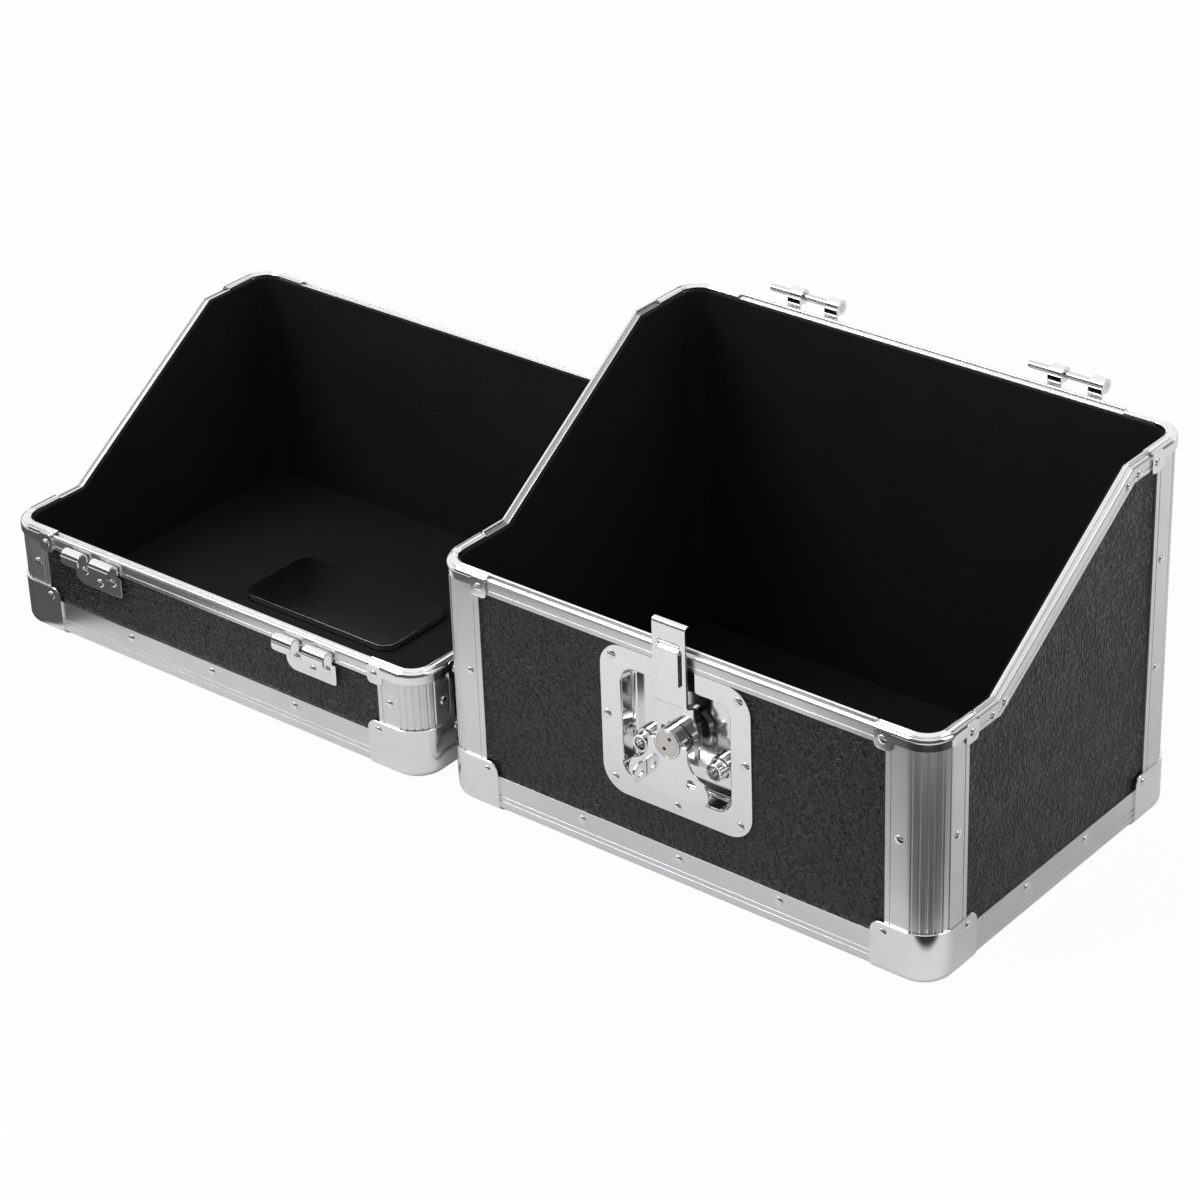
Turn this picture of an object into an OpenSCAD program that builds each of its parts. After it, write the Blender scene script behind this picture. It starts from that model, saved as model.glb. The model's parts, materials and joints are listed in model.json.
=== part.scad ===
/* [Tub and lid] */
// Width of the tub and of the lid
width = 380; // [340:5:460]
// Depth of the tub and of the lid
depth = 268; // [240:2:320]
// Height of the tub's front rim
tub_low = 171; // [155:1:240]
// Height of the lid's hinged rim, which is its low one
lid_low = 79; // [72:1:120]
// Rise of both rims from the low wall to the high wall
rim_rise = 93; // [70:1:120]
// Level length at each end of a side rim, measured from the outer face
rim_flat = 64; // [58:1:85]
// Gap between the tub and the lid that stands beside it
stand_gap = 17.5; // [12:0.5:60]
// How far the lid stands in front of the tub's line
lid_ahead = 5.5; // [0:0.5:20]

/* [Panels and lining] */
// Laminated board of every panel
panel_t = 4.1; // [3.6:0.1:6]
// Lining over the inner flanges of the extrusions
lining_t = 2; // [1.5:0.1:3.5]
// How far the lining's edge stays below the rim
lining_drop = 1; // [0.5:0.1:3]

/* [Extrusions] */
// Sheet of every aluminium extrusion
ext_t = 1.2; // [1:0.1:1.5]
// Outer radius of the corner posts in plan
post_r = 20; // [18:0.5:23]
// Reach of a post's outer flange from the neighbouring outer face
post_reach = 35; // [32:0.5:40]
// Reach of a post's inner flange from the neighbouring outer face
post_inner = 30; // [27:0.5:34]
// Number of flutes round a post
flutes = 6; // [4:1:7]
// Angle from flute to flute
flute_pitch = 14; // [10:0.5:15]
// Radius of a flute
flute_r = 0.5; // [0.3:0.05:0.7]
// Distance from a flange's edge to its fine groove
flange_groove = 3.7; // [2.5:0.1:5]
// Width of a fine groove
groove_w = 0.8; // [0.5:0.1:1.2]
// Depth of a fine groove
groove_d = 0.4; // [0.2:0.05:0.6]
// Depth of the rim's outer flange
rim_flange = 11; // [9:0.5:14]
// Depth of the rim's inner flange
rim_inner = 8; // [5:0.5:9]
// Thickness of the rim's web over the board
rim_web = 2.4; // [2:0.1:3]
// Outer edge radius of the rim
rim_round = 2.5; // [1.5:0.1:3]
// Width of the tongue on the tub's rim
tongue_w = 2; // [1.5:0.1:2.5]
// Height of the tongue
tongue_h = 3; // [2.6:0.1:3.2]
// Seam between two lengths of rim
rim_seam = 0.1; // [0.05:0.05:0.3]
// Clearance round the tongue in the lid's groove
tongue_play = 0.3; // [0.2:0.05:0.5]
// Depth of the groove in the lid's rim
tongue_groove = 1.2; // [0.9:0.1:1.4]
// Height of the bottom edge extrusion's outer flange
base_flange = 26; // [23:0.5:32]
// Height of the bottom edge extrusion's inner flange above its underside
base_inner = 16.8; // [13:0.2:22]
// Reach of the bottom edge extrusion's inner flange over the floor board
base_lap = 18; // [13:0.5:18]
// Reach of the bottom edge extrusion under the floor board
base_under = 18; // [13:0.5:18]
// Radius of the bottom edge
base_round = 5; // [4:0.5:6]
// Heights of the two grooves along the bottom edge, above its underside
base_grooves = [8.2, 11.8];

/* [Corner fittings] */
// Sheet of the ball corners and of the rim corner caps
cap_t = 1.2; // [1:0.1:1.6]
// Height of a ball corner
ball_h = 36.7; // [32:0.5:44]
// Reach of a ball corner from the neighbouring outer face
ball_reach = 44.6; // [42:0.2:52]
// Radius of a ball corner's lower edge
ball_edge = 7; // [5.5:0.5:7.5]
// Radius at the end of a ball corner's tab
ball_tab_r = 7; // [4:0.5:8]
// Reach of a rim corner cap
cap_reach = 42.6; // [40:0.2:50]
// Depth of a rim corner cap's band
cap_band = 7.5; // [6:0.5:10]
// Depth of a rim corner cap's riveted tabs
cap_tab_h = 14; // [12.5:0.5:18]
// Width of such a tab
cap_tab_w = 13; // [11:0.5:16]
// Radius of a tab's lower corners
cap_tab_r = 3.5; // [2:0.5:5]
// Radius of the two ridges on a rim corner cap
ridge_r = 0.7; // [0.4:0.1:0.9]

/* [Rivets] */
// Diameter of a rivet's head
rivet_d = 6.4; // [5:0.1:7.5]
// Height of a rivet's head
rivet_h = 1.3; // [0.9:0.1:2]

/* [Latch] */
// Width of the latch dish
dish_w = 115.5; // [106:0.5:130]
// Height of the latch dish
dish_h = 106.5; // [98:0.5:112]
// Corner radius of the latch dish
dish_r = 18; // [12:0.5:22]
// Sheet of the dish
dish_t = 1.2; // [1:0.1:1.6]
// Width of the recess
well_w = 83; // [78:0.5:90]
// Height of the recess
well_h = 76; // [74:0.5:80]
// Corner radius of the recess
well_r = 10; // [6:0.5:14]
// Depth of the recess below the outer face
well_d = 12; // [10:0.5:14]
// Distance from the dish's top edge to the recess
well_top = 15; // [13:0.5:16]
// Distance from the dish's top edge down to the latch spindle
spindle_drop = 51.4; // [50:0.2:53]
// Radius of the spindle
spindle_r = 3; // [2.5:0.1:3.5]
// Running clearance on the radius of the spindle
spindle_play = 0.05; // [0.02:0.01:0.1]
// Throw of the eccentric
throw = 4; // [3:0.1:4.5]
// Radius of the eccentric
cam_r = 8; // [7.6:0.1:8.2]
// Clearance of the eccentric in its slot
cam_play = 1.1; // [1:0.05:1.3]
// Radius of the lock barrel
barrel_r = 10; // [9.4:0.1:10.5]
// How far the barrel stands out of the front
barrel_out = 8.4; // [8:0.1:10]
// Radius of the key plug in the barrel
plug_r = 8.2; // [7.5:0.1:8.4]
// Length of the key plug
plug_len = 7; // [5:0.5:8]
// Running clearance on the radius of the key plug
plug_play = 0.05; // [0.02:0.01:0.1]
// Sheet of the wing
wing_t = 1.5; // [1.2:0.1:1.8]
// Half the width of the wing
wing_half = 30.7; // [28:0.1:33]
// Reach of the wing below the spindle
wing_drop = 37; // [35:0.1:38]
// Radius of each lobe of the wing
lobe_r = 9.6; // [8.5:0.1:10.5]
// Radius of the wing's waist beside the barrel
waist_r = 15.5; // [14:0.1:16]
// Radius of the padlock eye's ring
eye_r = 6.3; // [5.5:0.1:6.8]
// Radius of the hole in the padlock eye
eye_hole_r = 3.2; // [2.6:0.1:3.8]
// Sheet of the padlock eye
eye_t = 1.8; // [1.4:0.1:2]
// Width of the hook strap
strap_w = 25.5; // [24:0.5:29]
// Sheet of the hook strap
strap_t = 1.8; // [1.5:0.1:2]
// How far the strap's face stands out of the front
strap_out = 4.3; // [4:0.1:5]
// How far the strap rises over the tub's rim
strap_rise = 20.5; // [18:0.5:28]
// Distance from the recess's upper edge down to the strap's inward bend
joggle_drop = 12; // [10:0.5:14]
// Radius of the round bosses in the dish
boss_r = 6; // [4:0.5:7]

/* [Hinges] */
// Outer radius of a hinge knuckle
knuckle_r = 5; // [4.5:0.1:5.5]
// Radius of a hinge pin
pin_r = 2.4; // [2:0.1:2.8]
// Clearance on the radius of a hinge pin
pin_play = 0.1; // [0.05:0.05:0.2]
// Sheet of the hinge leaves
leaf_t = 1.5; // [1.2:0.1:2]
// Distance of the hinge axis from the wall and from the lid's rim
hinge_off = 6; // [5.6:0.1:6.4]
// Distance of the left hinge from the left outer face
hinge_x = 61.4; // [52:0.2:75]
// Distance of the right hinge's far end from the right outer face
hinge_right = 62.3; // [52:0.1:80]
// Depth of the lid's hinge leaf below the rim
leaf_drop = 28; // [26:0.5:34]
// Depth of the tub's hinge leaf below the rim's flange
tub_leaf_drop = 12; // [10:0.5:16]

/* [Handle] */
// Width of the handle dish
grip_dish_w = 170; // [160:1:190]
// Depth of the handle dish
grip_dish_d = 90; // [84:1:110]
// Width of the handle recess
grip_well_w = 136; // [130:1:150]
// Depth of the handle recess from front to back
grip_well_d = 64; // [60:1:78]
// Radius of the grip
grip_r = 5.2; // [4:0.1:5.4]
// Length of the grip
grip_len = 88; // [80:1:96]
// Radius of the bail's wire
bail_r = 2.5; // [2:0.1:3]
// Distance from the bail's pivot to the grip
bail_arm = 36; // [32:1:40]

/* [Hidden] */
$fn = 48;
hw = width / 2;
hd = depth / 2;
wall_t = 2 * ext_t + panel_t;
inset_in = wall_t + lining_t;
slope = atan(rim_rise / (depth - 2 * rim_flat));
foot = cap_t;
floor_z0 = foot + ext_t;
floor_z1 = floor_z0 + panel_t;
wall_z0 = foot + wall_t;
base_top = foot + base_flange;
spare = 8;
eps = 0.01;
tub_x = (width + stand_gap) / 2;
eye_x = 17.4;
eye_drop = 23.1;
eye_out = 2 * eye_r - 0.2;
eye_play = 0.25;
eye_foot = [5, 1.2];
wing_hole_r = 3.4;
wing_out = barrel_out - 0.4;
mid_y = (wing_out + eye_out - hinge_off - knuckle_r) / 2;
ridge_inset = 1.5;
closed_gap = 2 * cap_t;

// Places of the rivets
mid_rivet_x = 77;
side_rivet_y = 33;
base_rivet_z = foot + base_flange - 6.8;
post_rivet_in = 25;
post_rivet_z = 99;
back_rivet_z = [108, 185];
lid_rivet_z = 53;
lid_back_rivet_z = [53, 120];
ball_rivet_in = 35.6;
ball_rivet_z = 29.8;
cap_rivet_drop = 7;
cap_rivet_in = cap_reach - cap_tab_w / 2 + 0.6;
seam_rivet = 6.5;
seam_rivet_drop = 7.5;
rivet_sphere = (rivet_d * rivet_d / 4 + rivet_h * rivet_h) / (2 * rivet_h);

// Latch heights, all hung from the front rim of the tub
dish_top = tub_low - rim_flange;
dish_z = dish_top - dish_h / 2;
well_z1 = dish_top - well_top;
well_z0 = well_z1 - well_h;
spindle_z = dish_top - spindle_drop;
notch_w = strap_w + 6;
plate_y = 2.2;
cam_z = spindle_z - throw;
slot_h = 2 * cam_r + 2 * cam_play;
slot_w = 2 * cam_r + 2 * throw + 1;
strap_plate_w = slot_w + 7;
strap_foot = cam_z - slot_h / 2 - 3.5;
joggle_z = well_z1 - joggle_drop;
box_z0 = dish_top - 11;
box_w = strap_w - 8;
box_out = 2;
boss_x = 28.5;
boss_drop = 14.6;
dish_rivets = [[48.5, 8.5], [53, 52.5], [48.5, 97]];
collar_t = 1.5;
// Gaps before and behind the strap's plate
barrel_gap = 0.4;
retain_gap = 0.3;
// The two pin holes in the key plug and the lean of their line
key_lean = -62;
key_pin_out = 4.4;
key_pin_r = 1.2;
// The boss's lower flange is wider by boss_lip
boss_lip = 2;
lip_gap = 0.5;
box_wall = 1.5;
wing_ear = barrel_r + 4.5;
waist_x = wing_ear + 16.2;
waist_z = -4;

// Hinge lengths along X, measured from the left end of a hinge
knuckle_a = [0, 16.6];
knuckle_b = [27, 46.1];
stub_a = [16.8, 26.8];
stub_b = [46.3, 56.3];
leaf_x = [3.6, 48.1];
tub_leaf_x = 7.6;
hinge_pitch = width - hinge_x - hinge_right - stub_b[1];
leaf_rivets = [[13.6, 16.7], [27.6, 21.9], [40.6, 17.7]];
keeper_w = 40;
keeper_h = 26;
keeper_lip = 4;

// Handle heights, measured in the lid as it stands on its top
grip_z = foot + 6.2;
grip_pivot_y = bail_arm / 2;
bail_x = grip_len / 2 + 6;
bail_play = 0.05;
ear_t = 4;
ear_gap = 0.5;

// Rim line of a side as seen from the right, lowered square to itself by drop
function rim_line(low, drop) = [
    [-hd + rim_flat + drop * tan(slope / 2), low - drop],
    [hd - rim_flat + drop * tan(slope / 2), low + rim_rise - drop]
];

// Half run of side 0 front, 1 right, 2 back, 3 left, and the distance to its face
function half_run(side) = side % 2 == 0 ? hw : hd;
function face_dist(side) = side % 2 == 0 ? hd : hw;

// Rim height at the corner at end e of a side
function corner_back(side, e) = side == 2 || (side == 1 && e > 0) || (side == 3 && e < 0);
function corner_top(low, side, e) = corner_back(side, e) ? low + rim_rise : low;

module in_tub() {
    translate([tub_x, mid_y, 0]) children();
}

module in_lid() {
    translate([-tub_x, mid_y - lid_ahead, 0]) children();
}

// Puts a shape drawn on the front, outer face at y = 0, onto one of the four sides
module on_side(side) {
    rotate([0, 0, 90 * side]) translate([0, -face_dist(side), 0]) children();
}

// Corner 0 front left, 1 front right, 2 back right, 3 back left; the corner at the origin
module at_corner(corner) {
    right = corner == 1 || corner == 2;
    back = corner >= 2;
    translate([right ? hw : -hw, back ? hd : -hd, 0]) rotate([0, 0, 90 * corner]) children();
}

// Stands a section, drawn inward and up, along X from x0 to x1
module along_x(x0, x1) {
    translate([x0, 0, 0]) rotate([90, 0, 90]) linear_extrude(x1 - x0) children();
}

module plan(inset) {
    square([width - 2 * post_r, depth - 2 * inset], center = true);
    square([width - 2 * inset, depth - 2 * post_r], center = true);
    for (x = [-1, 1], y = [-1, 1])
        translate([x * (hw - post_r), y * (hd - post_r)]) circle(post_r - inset);
}

module round_rect(w, h, r) {
    square([w - 2 * r, h], center = true);
    square([w, h - 2 * r], center = true);
    for (x = [-1, 1], y = [-1, 1])
        translate([x * (w / 2 - r), y * (h / 2 - r)]) circle(r);
}

// Everything under the rim line, lowered by drop
module under_rim(low, drop) {
    line = rim_line(low, drop);
    along_x(-hw - 1, hw + 1) polygon([
        [-hd - 1, 0], [hd + 1, 0], [hd + 1, line[1][1]], line[1], line[0], [-hd - 1, line[0][1]]
    ]);
}

module floor_board() {
    translate([0, 0, floor_z0]) linear_extrude(panel_t) plan(wall_t);
}

module straight_board(side, top) {
    run = half_run(side) - post_r;
    on_side(side) translate([-run, ext_t, wall_z0]) cube([2 * run, panel_t, top - rim_web - wall_z0]);
}

module right_board(low) {
    line = rim_line(low, rim_web);
    translate([hw - ext_t - panel_t, 0, 0]) along_x(0, panel_t) polygon([
        [-hd + post_r, wall_z0], [hd - post_r, wall_z0], [hd - post_r, line[1][1]],
        line[1], line[0], [-hd + post_r, line[0][1]]
    ]);
}

// Flat pads of a lining that fill the room between the inner flanges
module lining_pads(low) {
    line = rim_line(low, rim_inner);
    z0 = foot + base_inner;
    back_top = low + rim_rise - rim_inner;
    x = hw - post_inner;
    y = hd - post_inner;
    d = ext_t + panel_t;
    t = ext_t + eps;
    translate([-x, -hd + d, z0]) cube([2 * x, t, low - rim_inner - z0]);
    translate([-x, hd - d - t, z0]) cube([2 * x, t, back_top - z0]);
    for (x0 = [-hw + d, hw - d - t])
        translate([x0, 0, 0]) along_x(0, t)
            polygon([[-y, z0], [y, z0], [y, back_top], line[1], line[0], [-y, low - rim_inner]]);
    translate([0, 0, floor_z1]) linear_extrude(t)
        square([width - 2 * base_lap, depth - 2 * base_lap], center = true);
}

module lining(low) {
    difference() {
        intersection() {
            translate([0, 0, wall_z0]) linear_extrude(low + rim_rise) plan(wall_t);
            under_rim(low, lining_drop);
        }
        translate([0, 0, wall_z0 + lining_t]) linear_extrude(low + rim_rise) plan(inset_in);
    }
    lining_pads(low);
}

module ring(outer, inner) {
    difference() {
        circle(outer);
        circle(inner);
    }
}

// Fluted hollow round of a post, its corner at the origin
module post_round() {
    difference() {
        intersection() {
            translate([post_r, post_r]) ring(post_r, post_r - wall_t);
            square(post_r);
        }
        intersection() {
            translate([post_r, post_r]) ring(post_r - ext_t, post_r - wall_t + ext_t);
            square(post_r - ext_t);
        }
        for (i = [0:flutes - 1])
            translate([post_r, post_r]) rotate(225 + (i - (flutes - 1) / 2) * flute_pitch)
                translate([post_r, 0]) circle(flute_r);
    }
}

module outer_flange() {
    difference() {
        translate([post_r, 0]) square([post_reach - post_r, ext_t]);
        translate([post_reach - flange_groove - groove_w, -eps]) square([groove_w, groove_d + eps]);
    }
}

module inner_flange() {
    translate([post_r, wall_t - ext_t]) square([post_inner - post_r, ext_t]);
}

// Same shape along both walls of a corner
module both_ways() {
    children();
    mirror([1, -1, 0]) children();
}

module post(corner, top) {
    at_corner(corner) {
        translate([0, 0, wall_z0]) linear_extrude(top - rim_round - wall_z0) post_round();
        translate([0, 0, base_top]) linear_extrude(top - rim_flange - base_top)
            both_ways() outer_flange();
        translate([0, 0, foot + base_inner]) linear_extrude(top - rim_inner - foot - base_inner)
            both_ways() inner_flange();
    }
}

// Outline with one rounded corner at the lower left, from the origin to x1, y1
module one_round(x1, y1, r) {
    translate([r, 0]) square([x1 - r, y1]);
    translate([0, r]) square([x1, y1 - r]);
    translate([r, r]) circle(r);
}

module base_section() {
    difference() {
        one_round(base_under, base_flange, base_round);
        translate([wall_t, wall_t]) square([base_under, base_flange]);
        translate([ext_t, wall_t]) square([panel_t, base_flange]);
        translate([ext_t, base_inner]) square([wall_t, base_flange]);
        translate([wall_t, ext_t]) square([base_under, panel_t]);
        translate([base_lap, ext_t]) square([base_under, wall_t]);
        intersection() {
            translate([ext_t, ext_t]) square(panel_t);
            translate([base_round, base_round]) circle(base_round - ext_t);
        }
        for (z = base_grooves)
            translate([-eps, z - groove_w / 2]) square([groove_d + eps, groove_w]);
    }
}

module base_run(side) {
    run = half_run(side) - post_r;
    on_side(side) translate([0, 0, foot]) along_x(-run, run) base_section();
}

// Section of the rim, its top at z = 0
module rim_section(grooved) {
    difference() {
        mirror([0, 1]) one_round(wall_t, rim_flange, rim_round);
        translate([ext_t, -rim_flange - 1]) square([wall_t, rim_flange + 1 - rim_inner]);
        translate([ext_t, -rim_inner - 1]) square([panel_t, rim_inner + 1 - rim_web]);
        translate([-eps, -rim_flange + 3]) square([groove_d + eps, groove_w]);
        if (grooved)
            translate([wall_t / 2 - tongue_w / 2 - tongue_play, -tongue_groove])
                square([tongue_w + 2 * tongue_play, tongue_groove + 1]);
    }
}

module tongue_section() {
    translate([wall_t / 2 - tongue_w / 2, -eps]) square([tongue_w, tongue_h - tongue_w / 2 + eps]);
    translate([wall_t / 2, tongue_h - tongue_w / 2]) circle(tongue_w / 2);
}

// One straight length of rim from a to b, mitred to its neighbours' tilts;
// the tongue stops short of an end by the amounts in stops
module rim_run(a, b, before, after, stops, grooved) {
    tilt = atan2(b[1] - a[1], b[0] - a[0]);
    length = norm(b - a);
    big = 4 * rim_flange;
    translate([a[0], 0, a[1]]) rotate([0, -tilt, 0]) difference() {
        union() {
            along_x(-spare, length + spare) rim_section(grooved);
            if (!grooved)
                along_x(stops[0], length - stops[1]) tongue_section();
        }
        rotate([0, (tilt - before) / 2, 0])
            translate([rim_seam / 2 - big, -big / 2, -big / 2]) cube(big);
        translate([length, 0, 0]) rotate([0, (tilt - after) / 2, 0])
            translate([-rim_seam / 2, -big / 2, -big / 2]) cube(big);
    }
}

module straight_rim(side, top, grooved) {
    run = half_run(side) - post_r;
    stop = cap_reach - post_r + tongue_play;
    on_side(side) rim_run([-run, top], [run, top], 0, 0, [stop, stop], grooved);
}

// Three mitred lengths along the right side, a hair seam between them
module right_rim(low, grooved) {
    line = rim_line(low, 0);
    stop = cap_reach - post_r + tongue_play;
    on_side(1) {
        rim_run([-hd + post_r, low], line[0], 0, slope, [stop, -spare], grooved);
        rim_run(line[0], line[1], 0, 0, [-spare, -spare], grooved);
        rim_run(line[1], [hd - post_r, low + rim_rise], slope, 0, [-spare, stop], grooved);
    }
}

module cap_section(band) {
    difference() {
        translate([-cap_t, cap_t]) mirror([0, 1])
            one_round(wall_t + cap_t, band + cap_t, rim_round + cap_t);
        mirror([0, 1]) one_round(wall_t + 1, band + 1, rim_round);
    }
    for (d = [ridge_inset, wall_t - ridge_inset])
        translate([d, cap_t]) circle(ridge_r);
}

// Riveted tab of a rim corner cap, drawn on the front with its corner at x = 0
module cap_tab() {
    translate([cap_reach - cap_tab_w / 2, 0, -cap_tab_h / 2]) rotate([90, 0, 0])
        linear_extrude(cap_t) round_rect(cap_tab_w, cap_tab_h, cap_tab_r);
}

module rim_cap(corner, top) {
    at_corner(corner) translate([0, 0, top]) {
        translate([post_r, post_r, 0]) rotate([0, 0, 180]) rotate_extrude(angle = 90)
            intersection() {
                translate([post_r, 0]) mirror([1, 0]) cap_section(cap_band);
                translate([0, -cap_band - 1]) square([post_r + cap_t + 1, cap_band + cap_t + 2]);
            }
        both_ways() {
            along_x(post_r, cap_reach) cap_section(cap_band);
            cap_tab();
        }
    }
}

module ball_section() {
    r = post_r + cap_t;
    difference() {
        translate([r, 0]) mirror([1, 0]) one_round(r, ball_h, ball_edge);
        translate([r - cap_t, cap_t]) mirror([1, 0]) one_round(r, ball_h, base_round);
    }
}

// Straight arm of a ball corner, the end of its side tab rounded off
module ball_arm() {
    difference() {
        along_x(post_r, ball_reach) translate([post_r, 0]) mirror([1, 0]) ball_section();
        translate([ball_reach - ball_tab_r, -cap_t - 1, ball_h - ball_tab_r]) tab_cut(cap_t + 2);
    }
}

// Waste outside a quarter round, drawn on the front and running inward by t
module tab_cut(t) {
    rotate([90, 0, 0]) translate([0, 0, -t]) linear_extrude(t) difference() {
        square(ball_tab_r + 1);
        circle(ball_tab_r);
    }
}

module ball_corner(corner) {
    at_corner(corner) {
        translate([post_r, post_r, 0]) rotate([0, 0, 180]) rotate_extrude(angle = 90) ball_section();
        both_ways() ball_arm();
    }
}

module rivet() {
    rotate_extrude() intersection() {
        translate([0, rivet_h - rivet_sphere]) circle(rivet_sphere);
        square([rivet_d / 2, rivet_h]);
    }
}

// Rivet head on a side at run u and height z, seated proud of the outer face
module head(side, u, z, proud = 0) {
    on_side(side) translate([u, -proud, z]) rotate([90, 0, 0]) rivet();
}

module box_rivets(low, front_z, back_z) {
    for (side = [0:3], e = [-1, 1]) {
        run = half_run(side);
        top = corner_top(low, side, e);
        head(side, e * (run - cap_rivet_in), top - cap_rivet_drop, cap_t);
        head(side, e * (run - ball_rivet_in), ball_rivet_z, cap_t);
        for (z = corner_back(side, e) ? back_z : [front_z])
            head(side, e * (run - post_rivet_in), z);
    }
    for (side = [0, 2], x = [-mid_rivet_x, 0, mid_rivet_x])
        head(side, x, base_rivet_z);
    for (side = [1, 3], y = [-side_rivet_y, side_rivet_y])
        head(side, y, base_rivet_z);
}

// Two rivets beside each bend of the side rims
module seam_rivets(low) {
    line = rim_line(low, seam_rivet_drop);
    for (side = [1, 3]) {
        s = side == 1 ? 1 : -1;
        for (i = [0, 1]) {
            level = i == 0 ? -1 : 1;
            head(side, s * (line[i][0] + level * seam_rivet), line[i][1]);
            head(side, s * (line[i][0] - level * seam_rivet * cos(slope)),
                line[i][1] - level * seam_rivet * sin(slope));
        }
    }
}

module tub_floor() {
    color("#26262a") in_tub() floor_board();
}

module tub_front() {
    color("#26262a") in_tub() difference() {
        straight_board(0, tub_low);
        well_hole(panel_t + 2);
    }
}

module tub_back() {
    color("#26262a") in_tub() straight_board(2, tub_low + rim_rise);
}

module tub_right() {
    color("#26262a") in_tub() right_board(tub_low);
}

module tub_left() {
    color("#26262a") in_tub() mirror([1, 0, 0]) right_board(tub_low);
}

module tub_lining() {
    color("#141416") in_tub() difference() {
        lining(tub_low);
        well_hole(inset_in + 2);
    }
}

module tub_post(corner) {
    color("#c9cbcd") in_tub() post(corner, corner >= 2 ? tub_low + rim_rise : tub_low);
}

module tub_base(side) {
    color("#d2d4d6") in_tub() base_run(side);
}

module tub_rim_straight(side) {
    color("#d8dadc") in_tub() straight_rim(side, side == 2 ? tub_low + rim_rise : tub_low, false);
}

module tub_rim_right() {
    color("#d8dadc") in_tub() right_rim(tub_low, false);
}

module tub_rim_left() {
    color("#d8dadc") in_tub() mirror([1, 0, 0]) right_rim(tub_low, false);
}

module rim_caps(low) {
    for (corner = [0:3])
        rim_cap(corner, corner >= 2 ? low + rim_rise : low);
}

module ball_corners() {
    for (corner = [0:3])
        ball_corner(corner);
}

module tub_rim_caps() {
    color("#e8e9ea") in_tub() rim_caps(tub_low);
}

module tub_ball_corners() {
    color("#e8e9ea") in_tub() ball_corners();
}

module tub_rivets() {
    color("#e4e5e6") in_tub() {
        box_rivets(tub_low, post_rivet_z, back_rivet_z);
        seam_rivets(tub_low);
        for (e = [-1, 1], p = dish_rivets)
            head(0, e * p[0], dish_top - p[1]);
        head(0, 0, dish_top - dish_h + 5.7);
        for (x = [0, hinge_pitch], p = leaf_rivets)
            head(2, -(hinge_x + x + p[0] - hw), tub_low + rim_rise - p[1] + 8, leaf_t);
    }
}

// Opening in the front board and lining for the recess of the dish
module well_hole(t) {
    translate([0, -hd - 1, (well_z0 + well_z1) / 2]) rotate([-90, 0, 0])
        linear_extrude(t + 1)
            round_rect(well_w + 2 * dish_t + 1, well_h + 2 * dish_t + 1, well_r + dish_t);
}

module latch_dish() {
    well_z = (well_z0 + well_z1) / 2;
    color("#d6d8da") in_tub() translate([0, -hd, 0]) difference() {
        union() {
            translate([0, 0, dish_z]) rotate([-90, 0, 0]) linear_extrude(dish_t)
                round_rect(dish_w, dish_h, dish_r);
            translate([0, 0, well_z]) rotate([-90, 0, 0]) linear_extrude(well_d + dish_t)
                round_rect(well_w + 2 * dish_t, well_h + 2 * dish_t, well_r + dish_t);
        }
        translate([0, -1, well_z]) rotate([-90, 0, 0]) linear_extrude(well_d + 1)
            round_rect(well_w, well_h, well_r);
        translate([-notch_w / 2, -1, well_z1 - 1]) cube([notch_w, dish_t + 1 - eps, well_top + 2]);
        translate([0, 0, spindle_z]) rotate([-90, 0, 0])
            cylinder(h = well_d + 10, r = spindle_r + spindle_play);
    }
}

module latch_bosses() {
    color("#d6d8da") in_tub() for (e = [-1, 1])
        translate([e * boss_x, -hd, spindle_z - boss_drop]) rotate([-90, 0, 0]) difference() {
            union() {
                translate([0, 0, lip_gap]) cylinder(h = well_d - lip_gap, r = boss_r);
                translate([0, 0, well_d - 5]) cylinder(h = 5, r = boss_r + boss_lip);
            }
            cylinder(h = well_d - 4, r = boss_r - 2);
        }
}

// Side profile of the strap from the lip down to the plate in the recess
module hook_strap() {
    top = tub_low + strap_rise;
    color("#dcdee0") in_tub() translate([0, -hd, 0]) difference() {
        union() {
            translate([-strap_w / 2, -strap_out, joggle_z])
                cube([strap_w, strap_t, top - joggle_z]);
            translate([-strap_w / 2, -strap_out, top - strap_t])
                cube([strap_w, strap_out - lip_gap, strap_t]);
            translate([-strap_w / 2, -strap_out, joggle_z - strap_t])
                cube([strap_w, strap_out + plate_y + strap_t, strap_t + eps]);
            translate([-strap_w / 2, plate_y, cam_z]) cube([strap_w, strap_t, joggle_z - cam_z]);
            translate([-strap_plate_w / 2, plate_y, strap_foot])
                cube([strap_plate_w, strap_t, slot_h + 7]);
            translate([-box_w / 2, -strap_out - box_out, box_z0])
                cube([box_w, box_out + eps, tub_low + 5.5 - box_z0]);
        }
        translate([-box_w / 2 + box_wall, -strap_out - box_out + box_wall, box_z0 + box_wall])
            cube([box_w - 2 * box_wall, strap_t + 2, tub_low - box_z0]);
        translate([-box_w / 2 + 0.5, -strap_out - box_out - 1, tub_low + 4])
            cube([box_w - 1, box_out + strap_t + 2, 3.5]);
        translate([0, plate_y - 1, cam_z]) rotate([-90, 0, 0])
            linear_extrude(strap_t + 2) round_rect(slot_w, slot_h, 2);
    }
}

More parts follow.
